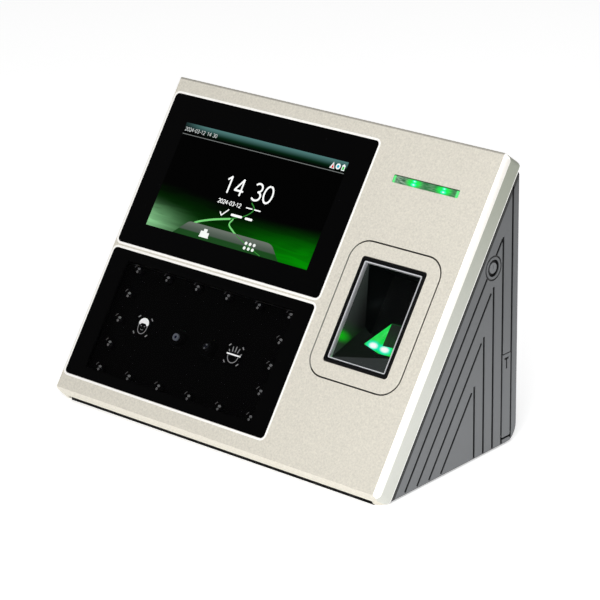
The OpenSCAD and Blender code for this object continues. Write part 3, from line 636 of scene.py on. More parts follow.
def prism_glass(name):
    """The reader's glass top: nearly clear, with a faint touch mark and grease in its gloss."""
    recipe = Recipe(name)
    spot = recipe.on_face()
    centre = FACE.spot("reader_prism")
    marks = recipe.noise(spot, 120.0, 4.0, 0.6)
    x, v, _ = recipe.parts(spot)
    away = ((x - centre[0]) ** 2.0 + ((v - centre[1]) * 0.7) ** 2.0) ** 0.5
    ridges = recipe.math("SINE", away * (2 * math.pi / (0.9 * MM)) + marks * 6.0) * 0.5 + 0.5
    touch = away.falls(4 * MM, 9 * MM) * ridges * marks.between(0.45, 0.7)
    return recipe.finish(
        Base_Color=recipe.mix(tone(12, 18, 17), tone(90, 100, 100), touch * 0.4),
        Roughness=0.03 + touch * 0.25 + marks * 0.03, Alpha=0.1 + touch * 0.05,
        Specular_IOR_Level=0.1)


def glow(name, colour, strength, base=None, rough=0.35):
    """A printed or lit shape that gives its own light, with a slight unevenness."""
    recipe = Recipe(name)
    haze = recipe.noise(recipe.place(), 500.0, 2.0)
    return recipe.finish(
        Base_Color=base or recipe.scaled(colour, 0.1),
        Emission_Color=recipe.scaled(colour, 0.9 + haze * 0.2),
        Emission_Strength=strength, Roughness=rough + haze * 0.1, Specular_IOR_Level=0.1)


def ink_and_glint(name, colour):
    """Screen-printed ink, and painted glints on a lens and the lamps: a thin flat layer with a
    little grain in its cover.
    """
    recipe = Recipe(name)
    grain = recipe.noise(recipe.place(), 2200.0, 3.0)
    recipe.bump(grain, 0.3, 0.01 * MM)
    return recipe.finish(Base_Color=recipe.scaled(colour, 0.88 + grain * 0.2),
                         Roughness=0.45 + grain * 0.1)


def cover_colours():
    """The main colours that the panel holds."""
    return bpy.context.scene.terminal_finish


FINISHES = {
    "cover_paint": lambda n: paint(n, cover_colours().cover, 0.42, flake=0.31,
                                    rim=float(FACE.extent("front_cover")[1][1])),
    "housing_plastic": lambda n: housing_plastic(n, cover_colours().housing),
    "window_black": lambda n: pane(n, cover_colours().window),
    "sensor_black": lambda n: pane(n, cover_colours().window, alpha=sensor_clear),
    "lcd_metal": lambda n: metal(n, tone(190, 192, 195), 0.35),
    "bracket_steel": lambda n: metal(n, tone(180, 182, 186), 0.4),
    "board_green": lambda n: circuit(n, tone(18, 82, 48), tone(205, 190, 140)),
    "board_black": lambda n: plastic(n, tone(5, 5, 6), 0.6, 2000.0, mottle=0.2, wear=0.0, level=0.1),
    "lamp_lens": lamp_lens,
    "camera_black": lambda n: plastic(n, tone(9, 9, 10), 0.5, wear=0.0, level=0.15),
    "light_guide": lambda n: plastic(n, tone(120, 190, 140), 0.3, wear=0.0),
    "frame_rubber": lambda n: rubber(n, tone(9, 9, 10), 0.6, 0.12, 0.12),
    "trim_steel": lambda n: metal(n, tone(222, 222, 226), 0.26, share=0.35),
    "prism_glass": prism_glass,
    "black_plastic": lambda n: plastic(n, tone(12, 12, 13), 0.5, wear=0.1, level=0.2),
    "green_lamp": lambda n: glow(n, tone(60, 255, 110), 3.0),
    "seal_rubber": lambda n: rubber(n, tone(8, 8, 9), 0.75, 0.0, 0.15),
    "screw_steel": lambda n: metal(n, tone(190, 190, 195), 0.3),
    "sink_metal": lambda n: metal(n, tone(60, 62, 66), 0.42),
    "relay_blue": lambda n: plastic(n, tone(32, 72, 160), 0.4, wear=0.0),
    "cell_steel": lambda n: metal(n, tone(205, 205, 208), 0.22),
    "jack_metal": lambda n: metal(n, tone(200, 200, 200), 0.3, wear=0.4),
    "jack_black": lambda n: plastic(n, tone(24, 24, 25), 0.45),
    "terminal_green": lambda n: plastic(n, tone(28, 128, 74), 0.5),
    "speaker_black": lambda n: plastic(n, tone(26, 26, 27), 0.7, wear=0.0),
    "battery_wrap": lambda n: plastic(n, tone(36, 78, 150), 0.35, 900.0, wear=0.0),
    "ribbon_film": lambda n: film(n, tone(220, 216, 200)),
    "button_plastic": lambda n: plastic(n, cover_colours().housing, 0.4, wear=0.4),
    "plate_steel": lambda n: metal(n, tone(176, 178, 182), 0.36, (1, 1, 14), 220.0, 0.5),
}
made_finishes = {}


def finish_of(slot):
    """The material for a slot, made once."""
    if slot not in made_finishes:
        made_finishes[slot] = FINISHES[slot](slot)
    return made_finishes[slot]


# ---------------------------------------------------------------- values a user would change

class TerminalFinish(bpy.types.PropertyGroup):
    """Main colours, in linear light."""

    cover: FloatVectorProperty(
        name="Cover", description="Paint of the front cover", subtype="COLOR",
        default=tone(219, 214, 201), min=0.0, max=1.0)
    # the cut edges' near-white colour is partly a painted highlight
    cut_edge_and_highlight: FloatVectorProperty(
        name="Cut edge", description="Bright edges cut into the cover", subtype="COLOR",
        default=tone(250, 247, 240), min=0.0, max=1.0)
    housing: FloatVectorProperty(
        name="Housing", description="Plastic of the rear housing", subtype="COLOR",
        default=tone(104, 106, 108), min=0.0, max=1.0)
    window: FloatVectorProperty(
        name="Windows", description="Black glass of both windows", subtype="COLOR",
        default=tone(6, 6, 7), min=0.0, max=1.0)


class TerminalScreen(bpy.types.PropertyGroup):
    """The picture on the screen."""

    side_border: FloatProperty(
        name="Side border", description="Panel left dark at each side of the picture",
        default=4.2 * MM, unit="LENGTH")
    end_border: FloatProperty(
        name="End border", description="Panel left dark above and below the picture",
        default=4.55 * MM, unit="LENGTH")
    numeral_height: FloatProperty(
        name="Numeral height", description="Height of the clock's numerals",
        default=8.1 * MM, unit="LENGTH")
    hour: StringProperty(name="Time", description="Four digits that the clock shows", default="14 30")
    day: StringProperty(name="Date", description="Digits of the date", default="2024-03-12")


class TerminalReader(bpy.types.PropertyGroup):
    """The fingerprint reader's frame and what is seen in it."""

    frame_crown: FloatProperty(
        name="Frame crown", description="Radius that rounds the rubber frame's top",
        default=0.45 * MM, unit="LENGTH")


class TerminalStage(bpy.types.PropertyGroup):
    """Camera and lights."""

    azimuth: FloatProperty(
        name="Azimuth", description="Camera's turn to the right of the front",
        default=math.radians(41.34), subtype="ANGLE")
    elevation: FloatProperty(
        name="Elevation", description="Camera's height angle",
        default=math.radians(20.78), subtype="ANGLE")
    roll: FloatProperty(
        name="Roll", description="Camera's turn about its own line of sight",
        default=math.radians(-0.92), subtype="ANGLE")
    distance: FloatProperty(
        name="Distance", description="From the camera to its target", default=1.141, unit="LENGTH")
    lens: FloatProperty(name="Lens", description="Focal length in millimetres", default=162.44)
    target: FloatVectorProperty(
        name="Target", description="Point that the camera looks at", subtype="TRANSLATION",
        default=(56.49 * MM, -49.7 * MM, 86.75 * MM))
    sky: FloatProperty(name="Sky", description="Strength of the light from all round", default=0.34)
    floor_size: FloatProperty(
        name="Floor size", description="Width of the floor", default=14.0, unit="LENGTH")


# ---------------------------------------------------------------- finishes on the CAD nodes

class TERMINAL_OT_finishes(bpy.types.Operator):
    """Give every CAD node the finish of its own slot"""

    bl_idname = "terminal.finishes"
    bl_label = "Finishes"

    def execute(self, context):
        for name, node in NODES.items():
            node.data.materials.clear()
            node.data.materials.append(finish_of(SLOT_OF[name]))
        return {"FINISHED"}


# ---------------------------------------------------------------- cover

LIP_W = 1.15 * MM          # width of the lip round a window
LIP_RISE = 0.1 * MM        # its height over the slope
WINDOW_CORNER = 2 * MM     # radius of a window's corners
STEEP = 0.75               # share of x in a normal that makes it a side's
CUT_SLOPE = 0.25           # share of the way out over which a side is a cut edge


def cut_edge_and_highlight_finish():
    """Bright cut metal with a very fine even grain; its pale colour is partly a painted highlight
    that the cover's cut edges catch.
    """
    return metal("cut_edge_and_highlight", cover_colours().cut_edge_and_highlight, 0.3, (1, 1, 1), 900.0)


def side_wall_finish():
    """The cover's paint on its side walls: greyer, with painted shade that darkens it higher up
    and a painted highlight along its pale back edge.
    """
    recipe = Recipe("cover_side")
    spot = recipe.place()
    _, _, z = recipe.parts(spot)
    _, _, w = recipe.board()
    back_w = float(FACE.extent("front_cover")[0][2])
    specks = recipe.noise(spot, 1000.0, 3.0, 0.75)
    # painted shade: darker higher up
    colour = recipe.mix(tone(206, 207, 199), tone(146, 150, 136), z.between(0.02, 0.15))
    # painted highlight along the back edge
    back = w.falls(back_w + 0.3 * MM, back_w + 0.5 * MM)
    colour = recipe.mix(recipe.scaled(colour, 0.93 + specks * 0.14), tone(250, 250, 246), back)
    recipe.bump(specks, 0.3, 0.012 * MM)
    return recipe.finish(Base_Color=colour, Roughness=0.42 + specks * 0.1, Metallic=0.1)


def window_lip(pile, node):
    """A low lip round a window: a shallow rise from the glass, then a crown to the cover."""
    low, high = FACE.extent(node)
    section = [(0.12 * MM, -0.3 * MM), (0.12 * MM, 0.02 * MM), (0.35 * MM, LIP_RISE),
               (LIP_W - 0.25 * MM, LIP_RISE), (LIP_W, 0.01 * MM), (LIP_W, -0.3 * MM)]
    rim(pile, (low[:2] + high[:2]) / 2, high[:2] - low[:2], WINDOW_CORNER, section)


class TERMINAL_OT_cover(bpy.types.Operator):
    """Build the cover's rounded shell, its cut side edges and the lips round both windows"""

    bl_idname = "terminal.cover"
    bl_label = "Front cover"

    def execute(self, context):
        shell = softened("front_cover", "cover_shell", 0.3 * MM, 2)
        shell.data.materials.append(cut_edge_and_highlight_finish())
        shell.data.materials.append(side_wall_finish())
        count = len(shell.data.polygons)
        normal = np.empty(count * 3)
        shell.data.polygons.foreach_get("normal", normal)
        normal = normal.reshape(-1, 3)
        outwards = normal @ FACE.out
        sides = (np.abs(normal[:, 0]) > STEEP) & (outwards > CUT_SLOPE)
        walls = (np.abs(normal[:, 0]) > STEEP) & (outwards <= CUT_SLOPE)
        shell.data.polygons.foreach_set("material_index", (sides + 2 * walls).astype(np.int32))
        shell.data.update()
        lips = Pile()
        for node in ("display_window", "sensor_window"):
            window_lip(lips, node)
        # the lips' near-white paint: a bright cut edge, its brightness partly a painted highlight
        lips.make("window_lips", paint("window_lip", tone(252, 250, 245), 0.3, 0.0, 0.03),
                  "cover_paint")
        return {"FINISHED"}


class TERMINAL_OT_housing(bpy.types.Operator):
    """Build the housing's shell with softly rounded edges and grooves"""

    bl_idname = "terminal.housing"
    bl_label = "Rear housing"

    def execute(self, context):
        softened("rear_housing", "housing_shell", 0.18 * MM, 2)
        return {"FINISHED"}


# ---------------------------------------------------------------- screen

PICTURE_W = 0.03 * MM              # height of the picture over the slope
PRINT_W = 0.05 * MM                # top of what is printed or shown on a window
TOP_W = PRINT_W + 0.01 * MM        # top of a shape that lies on another


def bow(x, y, rx, ry, start, end):
    """An arc in a glyph's unit box."""
    return arc((x, y), (rx, ry), start, end, 20)


GLYPHS = {
    "0": [bow(0.31, 0.5, 0.31, 0.5, 90, 450)],
    "1": [np.array([(0.08, 0.78), (0.34, 1.0), (0.34, 0.0)])],
    "2": [np.vstack([bow(0.31, 0.7, 0.29, 0.3, 165, -35), [(0.02, 0.0), (0.62, 0.0)]])],
    "3": [bow(0.29, 0.75, 0.27, 0.25, 150, -90), bow(0.29, 0.26, 0.31, 0.26, 90, -150)],
    "4": [np.array([(0.47, 0.0), (0.47, 1.0), (0.0, 0.3), (0.66, 0.3)])],
    "-": [np.array([(0.1, 0.45), (0.45, 0.45)])],
    " ": [],
}
GLYPH_STEP = 0.8
SPACE_STEP = 0.55


def write_digits(pile, text, start, height, width, w_low, w_high):
    """Digits as strokes, each one a glyph's outline scaled to the height and set along x."""
    x, v = start
    for sign in text:
        for line in GLYPHS[sign]:
            stroke(pile, np.array([x, v]) + line * height, width, w_low, w_high)
        x += height * (SPACE_STEP if sign in " -" else GLYPH_STEP)
    return x


class Picture:
    """The lit part of the panel; across and up go from 0 to 1 over it."""

    def __init__(self, settings):
        """The panel less its dark borders."""
        low, high = FACE.extent("lcd_panel")
        border = np.array([settings.side_border, settings.end_border])
        self.low = low[:2] + border
        self.size = high[:2] - low[:2] - 2 * border

    def at(self, points):
        """Points on the drawing board."""
        return self.low + np.array(points) * self.size


def picture_finish():
    """A dark screen with a teal bar on top and green light rising from its lower corners.
    Each patch of light is a product of smooth steps across and up the picture."""
    recipe = Recipe("screen_picture")
    spot = recipe.take("ShaderNodeUVMap", {"uv_map": "picture"}, {}, "UV")
    across, up, _ = recipe.parts(spot)
    swell = recipe.noise(recipe.mapped(spot, scale=(1.2, 5.0, 1.0)), 2.2, 3.0)
    bands = recipe.math("SINE", (up * 9.0 + across * 1.5 + swell * 5.0) * 5.0) * 0.12 + 0.9
    hill = up + (across - 0.2) * 0.12 + (swell - 0.5) * 0.08
    mint = hill.falls(0.02, 0.3) * across.falls(-0.1, 0.4)
    vivid = (up - across * 0.1).falls(-0.14, 0.27) * across.between(0.3, 1.0)
    deep = hill.falls(0.05, 0.42) * 0.55
    bar = up.between(0.93, 1.0)
    dusk = up.between(0.9, 0.95) * across.between(0.02, 0.3)
    light = recipe.scaled(tone(0, 74, 0), deep * bands)
    light = recipe.mix(light, tone(6, 140, 6), vivid * bands)
    light = recipe.mix(light, tone(150, 220, 156), mint ** 1.6 * bands)
    light = recipe.mix(light, tone(2, 40, 22), dusk)
    light = recipe.mix(light, tone(78, 118, 116), bar * across.between(-0.05, 0.15))
    return recipe.finish(Base_Color=(0.0003, 0.0003, 0.0003), Emission_Color=light,
                         Emission_Strength=1.0, Roughness=0.08 + swell * 0.04,
                         Specular_IOR_Level=0.02)


def picture_mesh(name, picture):
    """A flat grid over the picture that carries its own map from 0 to 1 each way."""
    across, up = np.meshgrid(np.linspace(0, 1, 48), np.linspace(0, 1, 24))
    points = picture.at(np.stack([across, up], -1))
    pile = Pile()
    pile.grid(FACE.at(points[..., 0], points[..., 1], PICTURE_W))
    mesh = pile.mesh(name)
    corners = np.empty(len(mesh.loops), int)
    mesh.loops.foreach_get("vertex_index", corners)
    shares = np.stack([across.ravel(), up.ravel()], 1)[corners]
    mesh.uv_layers.new(name="picture").data.foreach_set("uv", shares.ravel())
    return mesh


def tab_outline(picture):
    """The menu tab: a low bar with sloping ends whose upper corners are round."""
    left = np.vstack([[(0.172, 0.0)], arc((0.262, 0.085), (0.035, 0.05), 140, 90, 8)])
    right = np.vstack([arc((0.725, 0.085), (0.05, 0.05), 90, 25, 8), [(0.828, 0.0)]])
    return picture.at(np.vstack([left, right])[::-1])


class TERMINAL_OT_screen(bpy.types.Operator):
    """Build the screen's picture, clock, date, status signs and menu tab"""

    bl_idname = "terminal.screen"
    bl_label = "Screen"

    def execute(self, context):
        settings = context.scene.terminal_screen
        picture = Picture(settings)
        mesh = picture_mesh("screen_picture", picture)
        place("screen_picture", mesh, "terminal", picture_finish())
        self.clock(picture, settings)
        self.status(picture, settings)
        self.swoosh(picture)
        self.tab(picture)
        return {"FINISHED"}

    def clock(self, picture, settings):
        """Large time, the date under it and a tick with two bars under that."""
        white = glow("screen_white", tone(250, 252, 250), 1.0)
        pile = Pile()
        start = picture.at((0.365, 0.466))
        write_digits(pile, settings.hour, start, settings.numeral_height, 0.9 * MM,
                     PICTURE_W, PRINT_W)
        write_digits(pile, settings.day, picture.at((0.362, 0.368)), 1.9 * MM, 0.3 * MM,
                     PICTURE_W, PRINT_W)
        for first, last in ((0.535, 0.575), (0.585, 0.625)):
            stroke(pile, picture.at([(first, 0.385), (last, 0.385)]), 0.55 * MM, PICTURE_W, PRINT_W)
        stroke(pile, picture.at([(0.398, 0.292), (0.412, 0.262), (0.445, 0.33)]), 0.55 * MM,
               PICTURE_W, PRINT_W)
        for first, last in ((0.465, 0.535), (0.552, 0.598)):
            stroke(pile, picture.at([(first, 0.29), (last, 0.29)]), 1.1 * MM, PICTURE_W, PRINT_W)
        pile.make("screen_clock", white, "window_black")

    def status(self, picture, settings):
        """The small date, a rule under it and three signs at the right."""
        grey = glow("screen_grey", tone(205, 210, 208), 0.8)
        pile = Pile()
        end = write_digits(pile, settings.day, picture.at((0.006, 0.925)), 1.7 * MM, 0.26 * MM,
                           PICTURE_W, PRINT_W)
        write_digits(pile, settings.hour, (end + 1.2 * MM, picture.at((0, 0.925))[1]), 1.7 * MM,
                     0.26 * MM, PICTURE_W, PRINT_W)
        pile.make("screen_small_digits", grey, "window_black")
        rule = Pile()
        stroke(rule, picture.at([(0.0, 0.893), (0.997, 0.893)]), 0.32 * MM, PICTURE_W, PRINT_W)
        rule.make("screen_rule", glow("screen_rule", tone(120, 124, 122), 0.8),
                  "window_black")
        self.signs(picture)

    def signs(self, picture):
        """A triangle, a disc and a battery, each a pale shape with a coloured heart."""
        pale, red, teal, green = Pile(), Pile(), Pile(), Pile()
        triangle = np.array([(0.905, 0.915), (0.934, 0.915), (0.92, 0.975)])
        slab(pale, picture.at(triangle), PICTURE_W, PRINT_W)
        slab(red, picture.at(np.array([(0.916, 0.92), (0.929, 0.92), (0.92, 0.958)])),
             PRINT_W, TOP_W)
        slab(pale, picture.at(arc((0.951, 0.944), (0.0135, 0.027), 0, 345, 24)), PICTURE_W, PRINT_W)
        slab(teal, picture.at(arc((0.951, 0.944), (0.007, 0.014), 0, 345, 20)),
             PRINT_W, TOP_W)
        slab(pale, picture.at(np.array([(0.973, 0.916), (0.991, 0.916), (0.991, 0.966),
             (0.986, 0.966), (0.986, 0.974), (0.978, 0.974), (0.978, 0.966), (0.973, 0.966)])),
             PICTURE_W, PRINT_W)
        slab(green, picture.at(np.array([(0.977, 0.923), (0.987, 0.923), (0.987, 0.953),
             (0.977, 0.953)])), PRINT_W, TOP_W)
        for pile, name, colour in (
                (pale, "sign_shapes", (235, 240, 240)), (red, "sign_red", (214, 20, 24)),
                (teal, "sign_teal", (30, 170, 190)), (green, "sign_green", (40, 190, 70))):
            pile.make("screen_" + name, glow("screen_" + name, tone(*colour), 1.0),
                      "window_black")

    def swoosh(self, picture):
        """Two curving ribbons of light, each a smooth curve through a few points."""
        lit = glow("screen_swoosh", tone(120, 214, 120), 0.9)
        dim = glow("screen_swoosh_dim", tone(60, 150, 60), 0.8)
        main, tail = Pile(), Pile()
        stroke(main, picture.at(smooth_path([(0.262, 0.115), (0.3, 0.155), (0.378, 0.206),
               (0.474, 0.252)])), 0.95 * MM, PICTURE_W, PICTURE_W + 0.008 * MM)
        stroke(main, picture.at(smooth_path([(0.49, 0.258), (0.478, 0.2), (0.515, 0.15),
               (0.545, 0.12)])), 0.75 * MM, PICTURE_W, PICTURE_W + 0.008 * MM)
        stroke(tail, picture.at(smooth_path([(0.47, 0.252), (0.549, 0.311), (0.584, 0.385),
               (0.557, 0.439)])), 0.45 * MM, PICTURE_W, PICTURE_W + 0.006 * MM)
        stroke(tail, picture.at(smooth_path([(0.54, 0.125), (0.581, 0.094), (0.65, 0.045),
               (0.717, 0.004)])), 0.35 * MM, PICTURE_W, PICTURE_W + 0.016 * MM)
        main.make("screen_swoosh", lit, "window_black")
        tail.make("screen_swoosh_tail", dim, "window_black")

    def tab(self, picture):
        """The grey menu tab with a building sign and six dots."""
        tab = Pile()
        slab(tab, tab_outline(picture), PICTURE_W, PICTURE_W + 0.012 * MM, picture.at((0.5, 0.03)))
        tab.make("screen_tab", tab_finish(), "window_black")
        white = Pile()
        for row in (0, 1):
            for column in (0, 1, 2):
                centre = picture.at((0.614 + column * 0.025, 0.036 + row * 0.044))
                slab(white, arc(centre, (0.78 * MM, 0.78 * MM), 0, 340, 18), PICTURE_W, TOP_W)
        for left, right, top in ((0.333, 0.352, 0.082), (0.349, 0.37, 0.105), (0.367, 0.386, 0.074)):
            corners = np.array([(left, 0.032), (right, 0.032), (right, top), (left, top)])
            slab(white, picture.at(corners), PICTURE_W, TOP_W)
        stroke(white, picture.at([(0.33, 0.03), (0.389, 0.03)]), 0.5 * MM, PICTURE_W, TOP_W)
        white.make("screen_menu_signs",
                   glow("screen_menu_signs", tone(240, 244, 240), 0.95), "window_black")


def gathered(points, reach):
    """The middles of clumps: each point joins the first point that lies within reach of it."""
    away = np.linalg.norm(points[:, None, :] - points[None, :, :], axis=2)
    first = (away < reach).argmax(1)
    return np.array([points[first == k].mean(0) for k in np.unique(first)])


def smooth_path(points):
    """A Catmull-Rom curve: each span is a cubic through its two ends with the neighbours' slopes."""
    line = np.array(points, float)
    line = np.vstack([2 * line[0] - line[1], line, 2 * line[-1] - line[-2]])
    t = np.linspace(0, 1, SPAN_STEPS, endpoint=False)[None, :, None]
    a, b, c, d = (line[k:len(line) - 3 + k][:, None, :] for k in range(4))
    spans = 0.5 * (2 * b + (c - a) * t + (2 * a - 5 * b + 4 * c - d) * t ** 2
                   + (3 * b - a - 3 * c + d) * t ** 3)
    return np.vstack([spans.reshape(-1, 2), line[-2]])


def tab_finish():
    """Smoky grey at the top that falls to dark green, with a faint dark seam in the middle."""
    recipe = Recipe("screen_tab")
    picture = Picture(bpy.context.scene.terminal_screen)
    _, v, _ = recipe.board()
    rise = (v - float(picture.low[1])) / float(picture.size[1])
    haze = recipe.noise(recipe.place(), 60.0, 3.0)
    lower = recipe.mix(tone(8, 60, 14), tone(20, 84, 26), haze)
    upper = recipe.mix(tone(78, 92, 80), tone(110, 120, 110), rise.between(0.06, 0.14))
    return recipe.finish(
        Base_Color=(0.005, 0.005, 0.005), Emission_Strength=0.85, Specular_IOR_Level=0.15,
        Emission_Color=recipe.mix(lower, upper, rise.between(0.045, 0.062)),
        Roughness=0.1 + haze * 0.05)


# ---------------------------------------------------------------- printed signs and lenses

ICON_SIZE = 5.6 * MM


def brackets(pile, centre, reach, width):
    """Four short corner arcs round a sign."""
    for start in (20, 110, 200, 290):
        stroke(pile, arc(centre, (reach, reach), start + 17, start + 33, 8), width, 0.0, PRINT_W)


class TERMINAL_OT_signs(bpy.types.Operator):
    """Print the face sign and the palm sign on the sensor window"""

    bl_idname = "terminal.signs"
    bl_label = "Printed signs"

    def execute(self, context):
        white = ink_and_glint("sign_ink", tone(232, 232, 232))
        grey = ink_and_glint("sign_grey", tone(128, 128, 130))
        colour_eye, infrared_eye = FACE.spot("colour_camera"), FACE.spot("ir_camera")
        step = infrared_eye - colour_eye
        self.face_sign(colour_eye - step * 1.01, white, grey)
        self.palm_sign(infrared_eye + step * 0.995, white, grey)
        return {"FINISHED"}

    def face_sign(self, centre, white, grey):
        """A plain head: a hair cap, an egg-shaped outline, two eye dots and a small mouth."""
        pile = Pile()
        size = 3.0 * MM
        cap = np.vstack([arc((0, 0.35), (1.0, 0.95), 0, 180, 20),
                         [(-0.72, 0.1), (-0.45, 0.42), (0.45, 0.42), (0.72, 0.1)]])
        slab(pile, centre + cap * size, 0.0, PRINT_W, centre + np.array([0.0, 0.85]) * size)
        chin = np.vstack([[(-0.93, 0.3)], arc((0, -0.25), (0.86, 1.0), 180, 360, 20), [(0.93, 0.3)]])
        pile.make("face_sign_hair", white, "sensor_black")
        pile = Pile()
        stroke(pile, centre + chin * size, 0.3 * MM, 0.0, PRINT_W)
        for x in (-0.34, 0.34):
            slab(pile, arc(centre + np.array([x, -0.02]) * size, (0.3 * MM, 0.25 * MM), 0, 330, 12),
                 0.0, PRINT_W)
        stroke(pile, centre + arc((0, -0.45), (0.3, 0.18), 200, 340, 8) * size, 0.22 * MM,
               0.0, PRINT_W)
        brackets(pile, centre, ICON_SIZE, 0.5 * MM)
        pile.make("face_sign", grey, "sensor_black")

    def palm_sign(self, centre, white, grey):
        """An open hand over a scan line: five fingers, the line and a bowl for the heel."""
        pile = Pile()
        size = 1.0 * MM
        fingers = [((-2.9, 0.9), (-3.5, 2.0)), ((-1.3, 1.2), (-1.7, 3.6)), ((0.2, 1.2), (0.3, 4.0)),
                   ((1.7, 1.1), (2.3, 3.4)), ((3.3, -0.2), (4.3, 1.3))]
        for root, tip in fingers:
            stroke(pile, centre + np.array([root, tip]) * size, 0.5 * MM, 0.0, PRINT_W)
        stroke(pile, centre + arc((0, -0.6), (3.0, 3.2), 180, 360, 20) * size, 0.34 * MM,
               0.0, PRINT_W)
        brackets(pile, centre, ICON_SIZE, 0.5 * MM)
        pile.make("palm_sign", grey, "sensor_black")
        line = Pile()
        stroke(line, centre + np.array([(-4.2, 0.0), (4.2, 0.0)]) * size, 0.7 * MM, 0.0, PRINT_W)
        line.make("palm_sign_line", white, "sensor_black")


class TERMINAL_OT_lenses(bpy.types.Operator):
    """Build the cameras' lens rings and glasses, and painted glints on a lens and on the lamps"""

    bl_idname = "terminal.lenses"
    bl_label = "Lenses"

    def execute(self, context):
        pale, dark, glints, glasses = Pile(), Pile(), Pile(), Pile()
        for node, ring in (("colour_camera", pale), ("ir_camera", dark)):
            x, v = FACE.spot(node)
            centre = FACE.at(x, v, FACE.extent(node)[1][2])
            turned(ring, centre, FACE.out, [
                (0.8 * MM, -0.9 * MM), (0.8 * MM, 0.02 * MM), (0.95 * MM, 0.1 * MM),
                (1.5 * MM, 0.1 * MM), (1.7 * MM, -0.05 * MM), (1.7 * MM, -0.9 * MM)])
            bulge = np.linspace(0, 1, 8)
            profile = [(0.78 * MM * s, (-0.25 + 0.3 * (1 - s * s)) * MM) for s in bulge]
            turned(glasses, centre, FACE.out, [(0.0, -0.9 * MM), (0.78 * MM, -0.9 * MM)]
                   + profile[::-1])
        # painted glints: two pale ovals on the infrared camera's lens in place of the lights'
        # reflections
        spot, top = FACE.spot("ir_camera"), FACE.extent("ir_camera")[1][2]
        for shift in ((0.35, 0.95), (-0.3, -0.85)):
            oval = arc(spot + np.array(shift) * MM, (0.5 * MM, 0.42 * MM), 0, 340, 12)
            slab(glints, oval, top + 0.1 * MM, top + 0.16 * MM)
        glints.make("lens_glints", ink_and_glint("lens_glint", tone(205, 210, 220)), "camera_black")
        pale.make("lens_ring", metal("lens_ring", tone(226, 234, 255), 0.3, share=0.1),
                  "camera_black")
        dark.make("lens_ring_dark",
                  metal("lens_ring_dark", tone(26, 27, 32), 0.3, share=0.1), "camera_black")
        glasses.make("lens_glasses", lens_finish(), "camera_black")
        self.painted_lamp_glints()
        return {"FINISHED"}

    def painted_lamp_glints(self):
        """Painted glints on each lamp: two pale ovals and a pale crescent near the rim of its cup,
        in place of the lights' reflections in the dome.
        """
        local = FACE.read(vertex_places(NODES["ir_lamps"].data))
        top = local[:, 2].max()
        crowns = gathered(local[local[:, 2] > top - 0.03 * MM][:, :2], 4 * MM)
        painted_lamp_glints, painted_glint_crescents = Pile(), Pile()
        # painted glints in place of the lights' reflections in each lamp dome
        for crown in crowns:
            for shift, radii in (((0.45, 0.75), (0.85, 0.6)), ((-0.05, -0.75), (0.6, 0.62))):
                oval = arc(crown + np.array(shift) * MM, np.array(radii) * MM, 0, 340, 14)
                slab(painted_lamp_glints, oval, top - 0.02 * MM, top + 0.06 * MM)
            stroke(painted_glint_crescents, arc(crown, (2.4 * MM, 2.7 * MM), 118, 160, 8), 0.4 * MM,
                   top - 0.02 * MM, top + 0.05 * MM)
        painted_lamp_glints.make("lamp_glints", ink_and_glint("lamp_glint", tone(245, 245, 248)), "lamp_lens")
        painted_glint_crescents.make("lamp_glint_crescents", ink_and_glint("lamp_glint_crescent", tone(170, 170, 174)), "lamp_lens")


def lens_finish():
    """A coated lens: almost black with a violet bloom in patches."""
    recipe = Recipe("lens_glass")
    bloom = recipe.noise(recipe.place(), 350.0, 2.0)
    return recipe.finish(Base_Color=recipe.mix(tone(16, 20, 40), tone(82, 94, 160),
                                               bloom.between(0.45, 0.7)),
                         Roughness=0.04 + bloom * 0.04, Specular_IOR_Level=0.9, Coat_Weight=0.5)


# ---------------------------------------------------------------- status light

LIT_LAMPS = (-6.45, 10.05)         # the two lamps, in millimetres from the bar's middle
BAR_TOP, BAR_FOOT = 0.03, -3.4     # heights of the bar, in millimetres over the slope


def light_bar_finish():
    """Clear ribbed plastic over two green lamps: each lamp is a bright patch that fades with
    distance, over pale streaks, with a painted shadow along its upper long edge and lit ends."""
    recipe = Recipe("light_bar")
    centre = FACE.spot("status_light_bar")
    spot = recipe.on_face()
    x, v, _ = recipe.parts(spot)
    x, v = (x - float(centre[0])) * PER_METRE, (v - float(centre[1])) * PER_METRE
    streaks = recipe.noise(recipe.mapped(spot, scale=(0.12, 1, 1)), 2600.0, 3.0)
    light = recipe.mix(tone(36, 84, 52), tone(150, 182, 156), streaks.between(0.35, 0.7))
    green_side = x.between(-13.0, -6.0)
    light = recipe.mix(light, tone(28, 120, 56), green_side * 0.65)
    for lamp in LIT_LAMPS:
        away = ((x - lamp) ** 2.0 * 0.09 + v ** 2.0 * 0.35) ** 0.5
        light = recipe.mix(light, tone(0, 228, 76), away.falls(0.55, 1.7))
        for high, size in ((0.75, 0.55), (-0.8, 0.75)):
            core = ((x - lamp) ** 2.0 * 0.25 + (v - high) ** 2.0) ** 0.5
            light = recipe.mix(light, tone(40, 255, 190), core.falls(size * 0.5, size * 1.4))
            light = recipe.mix(light, tone(225, 255, 240), core.falls(size * 0.1, size * 0.6))
    ends = abs(x).between(16.4, 17.2)
    light = recipe.mix(light, tone(96, 240, 130), ends * 0.9)
    # painted shadow along the bar's upper long edge
    upper = v.between(1.25, 1.5)
    light = recipe.mix(light, tone(28, 50, 34), upper * 0.85)
    recipe.bump(streaks, 0.3, 0.05 * MM)
    return recipe.finish(Base_Color=recipe.scaled(light, 0.25), Emission_Color=light,
                         Emission_Strength=0.85, Roughness=0.16 + streaks * 0.1)


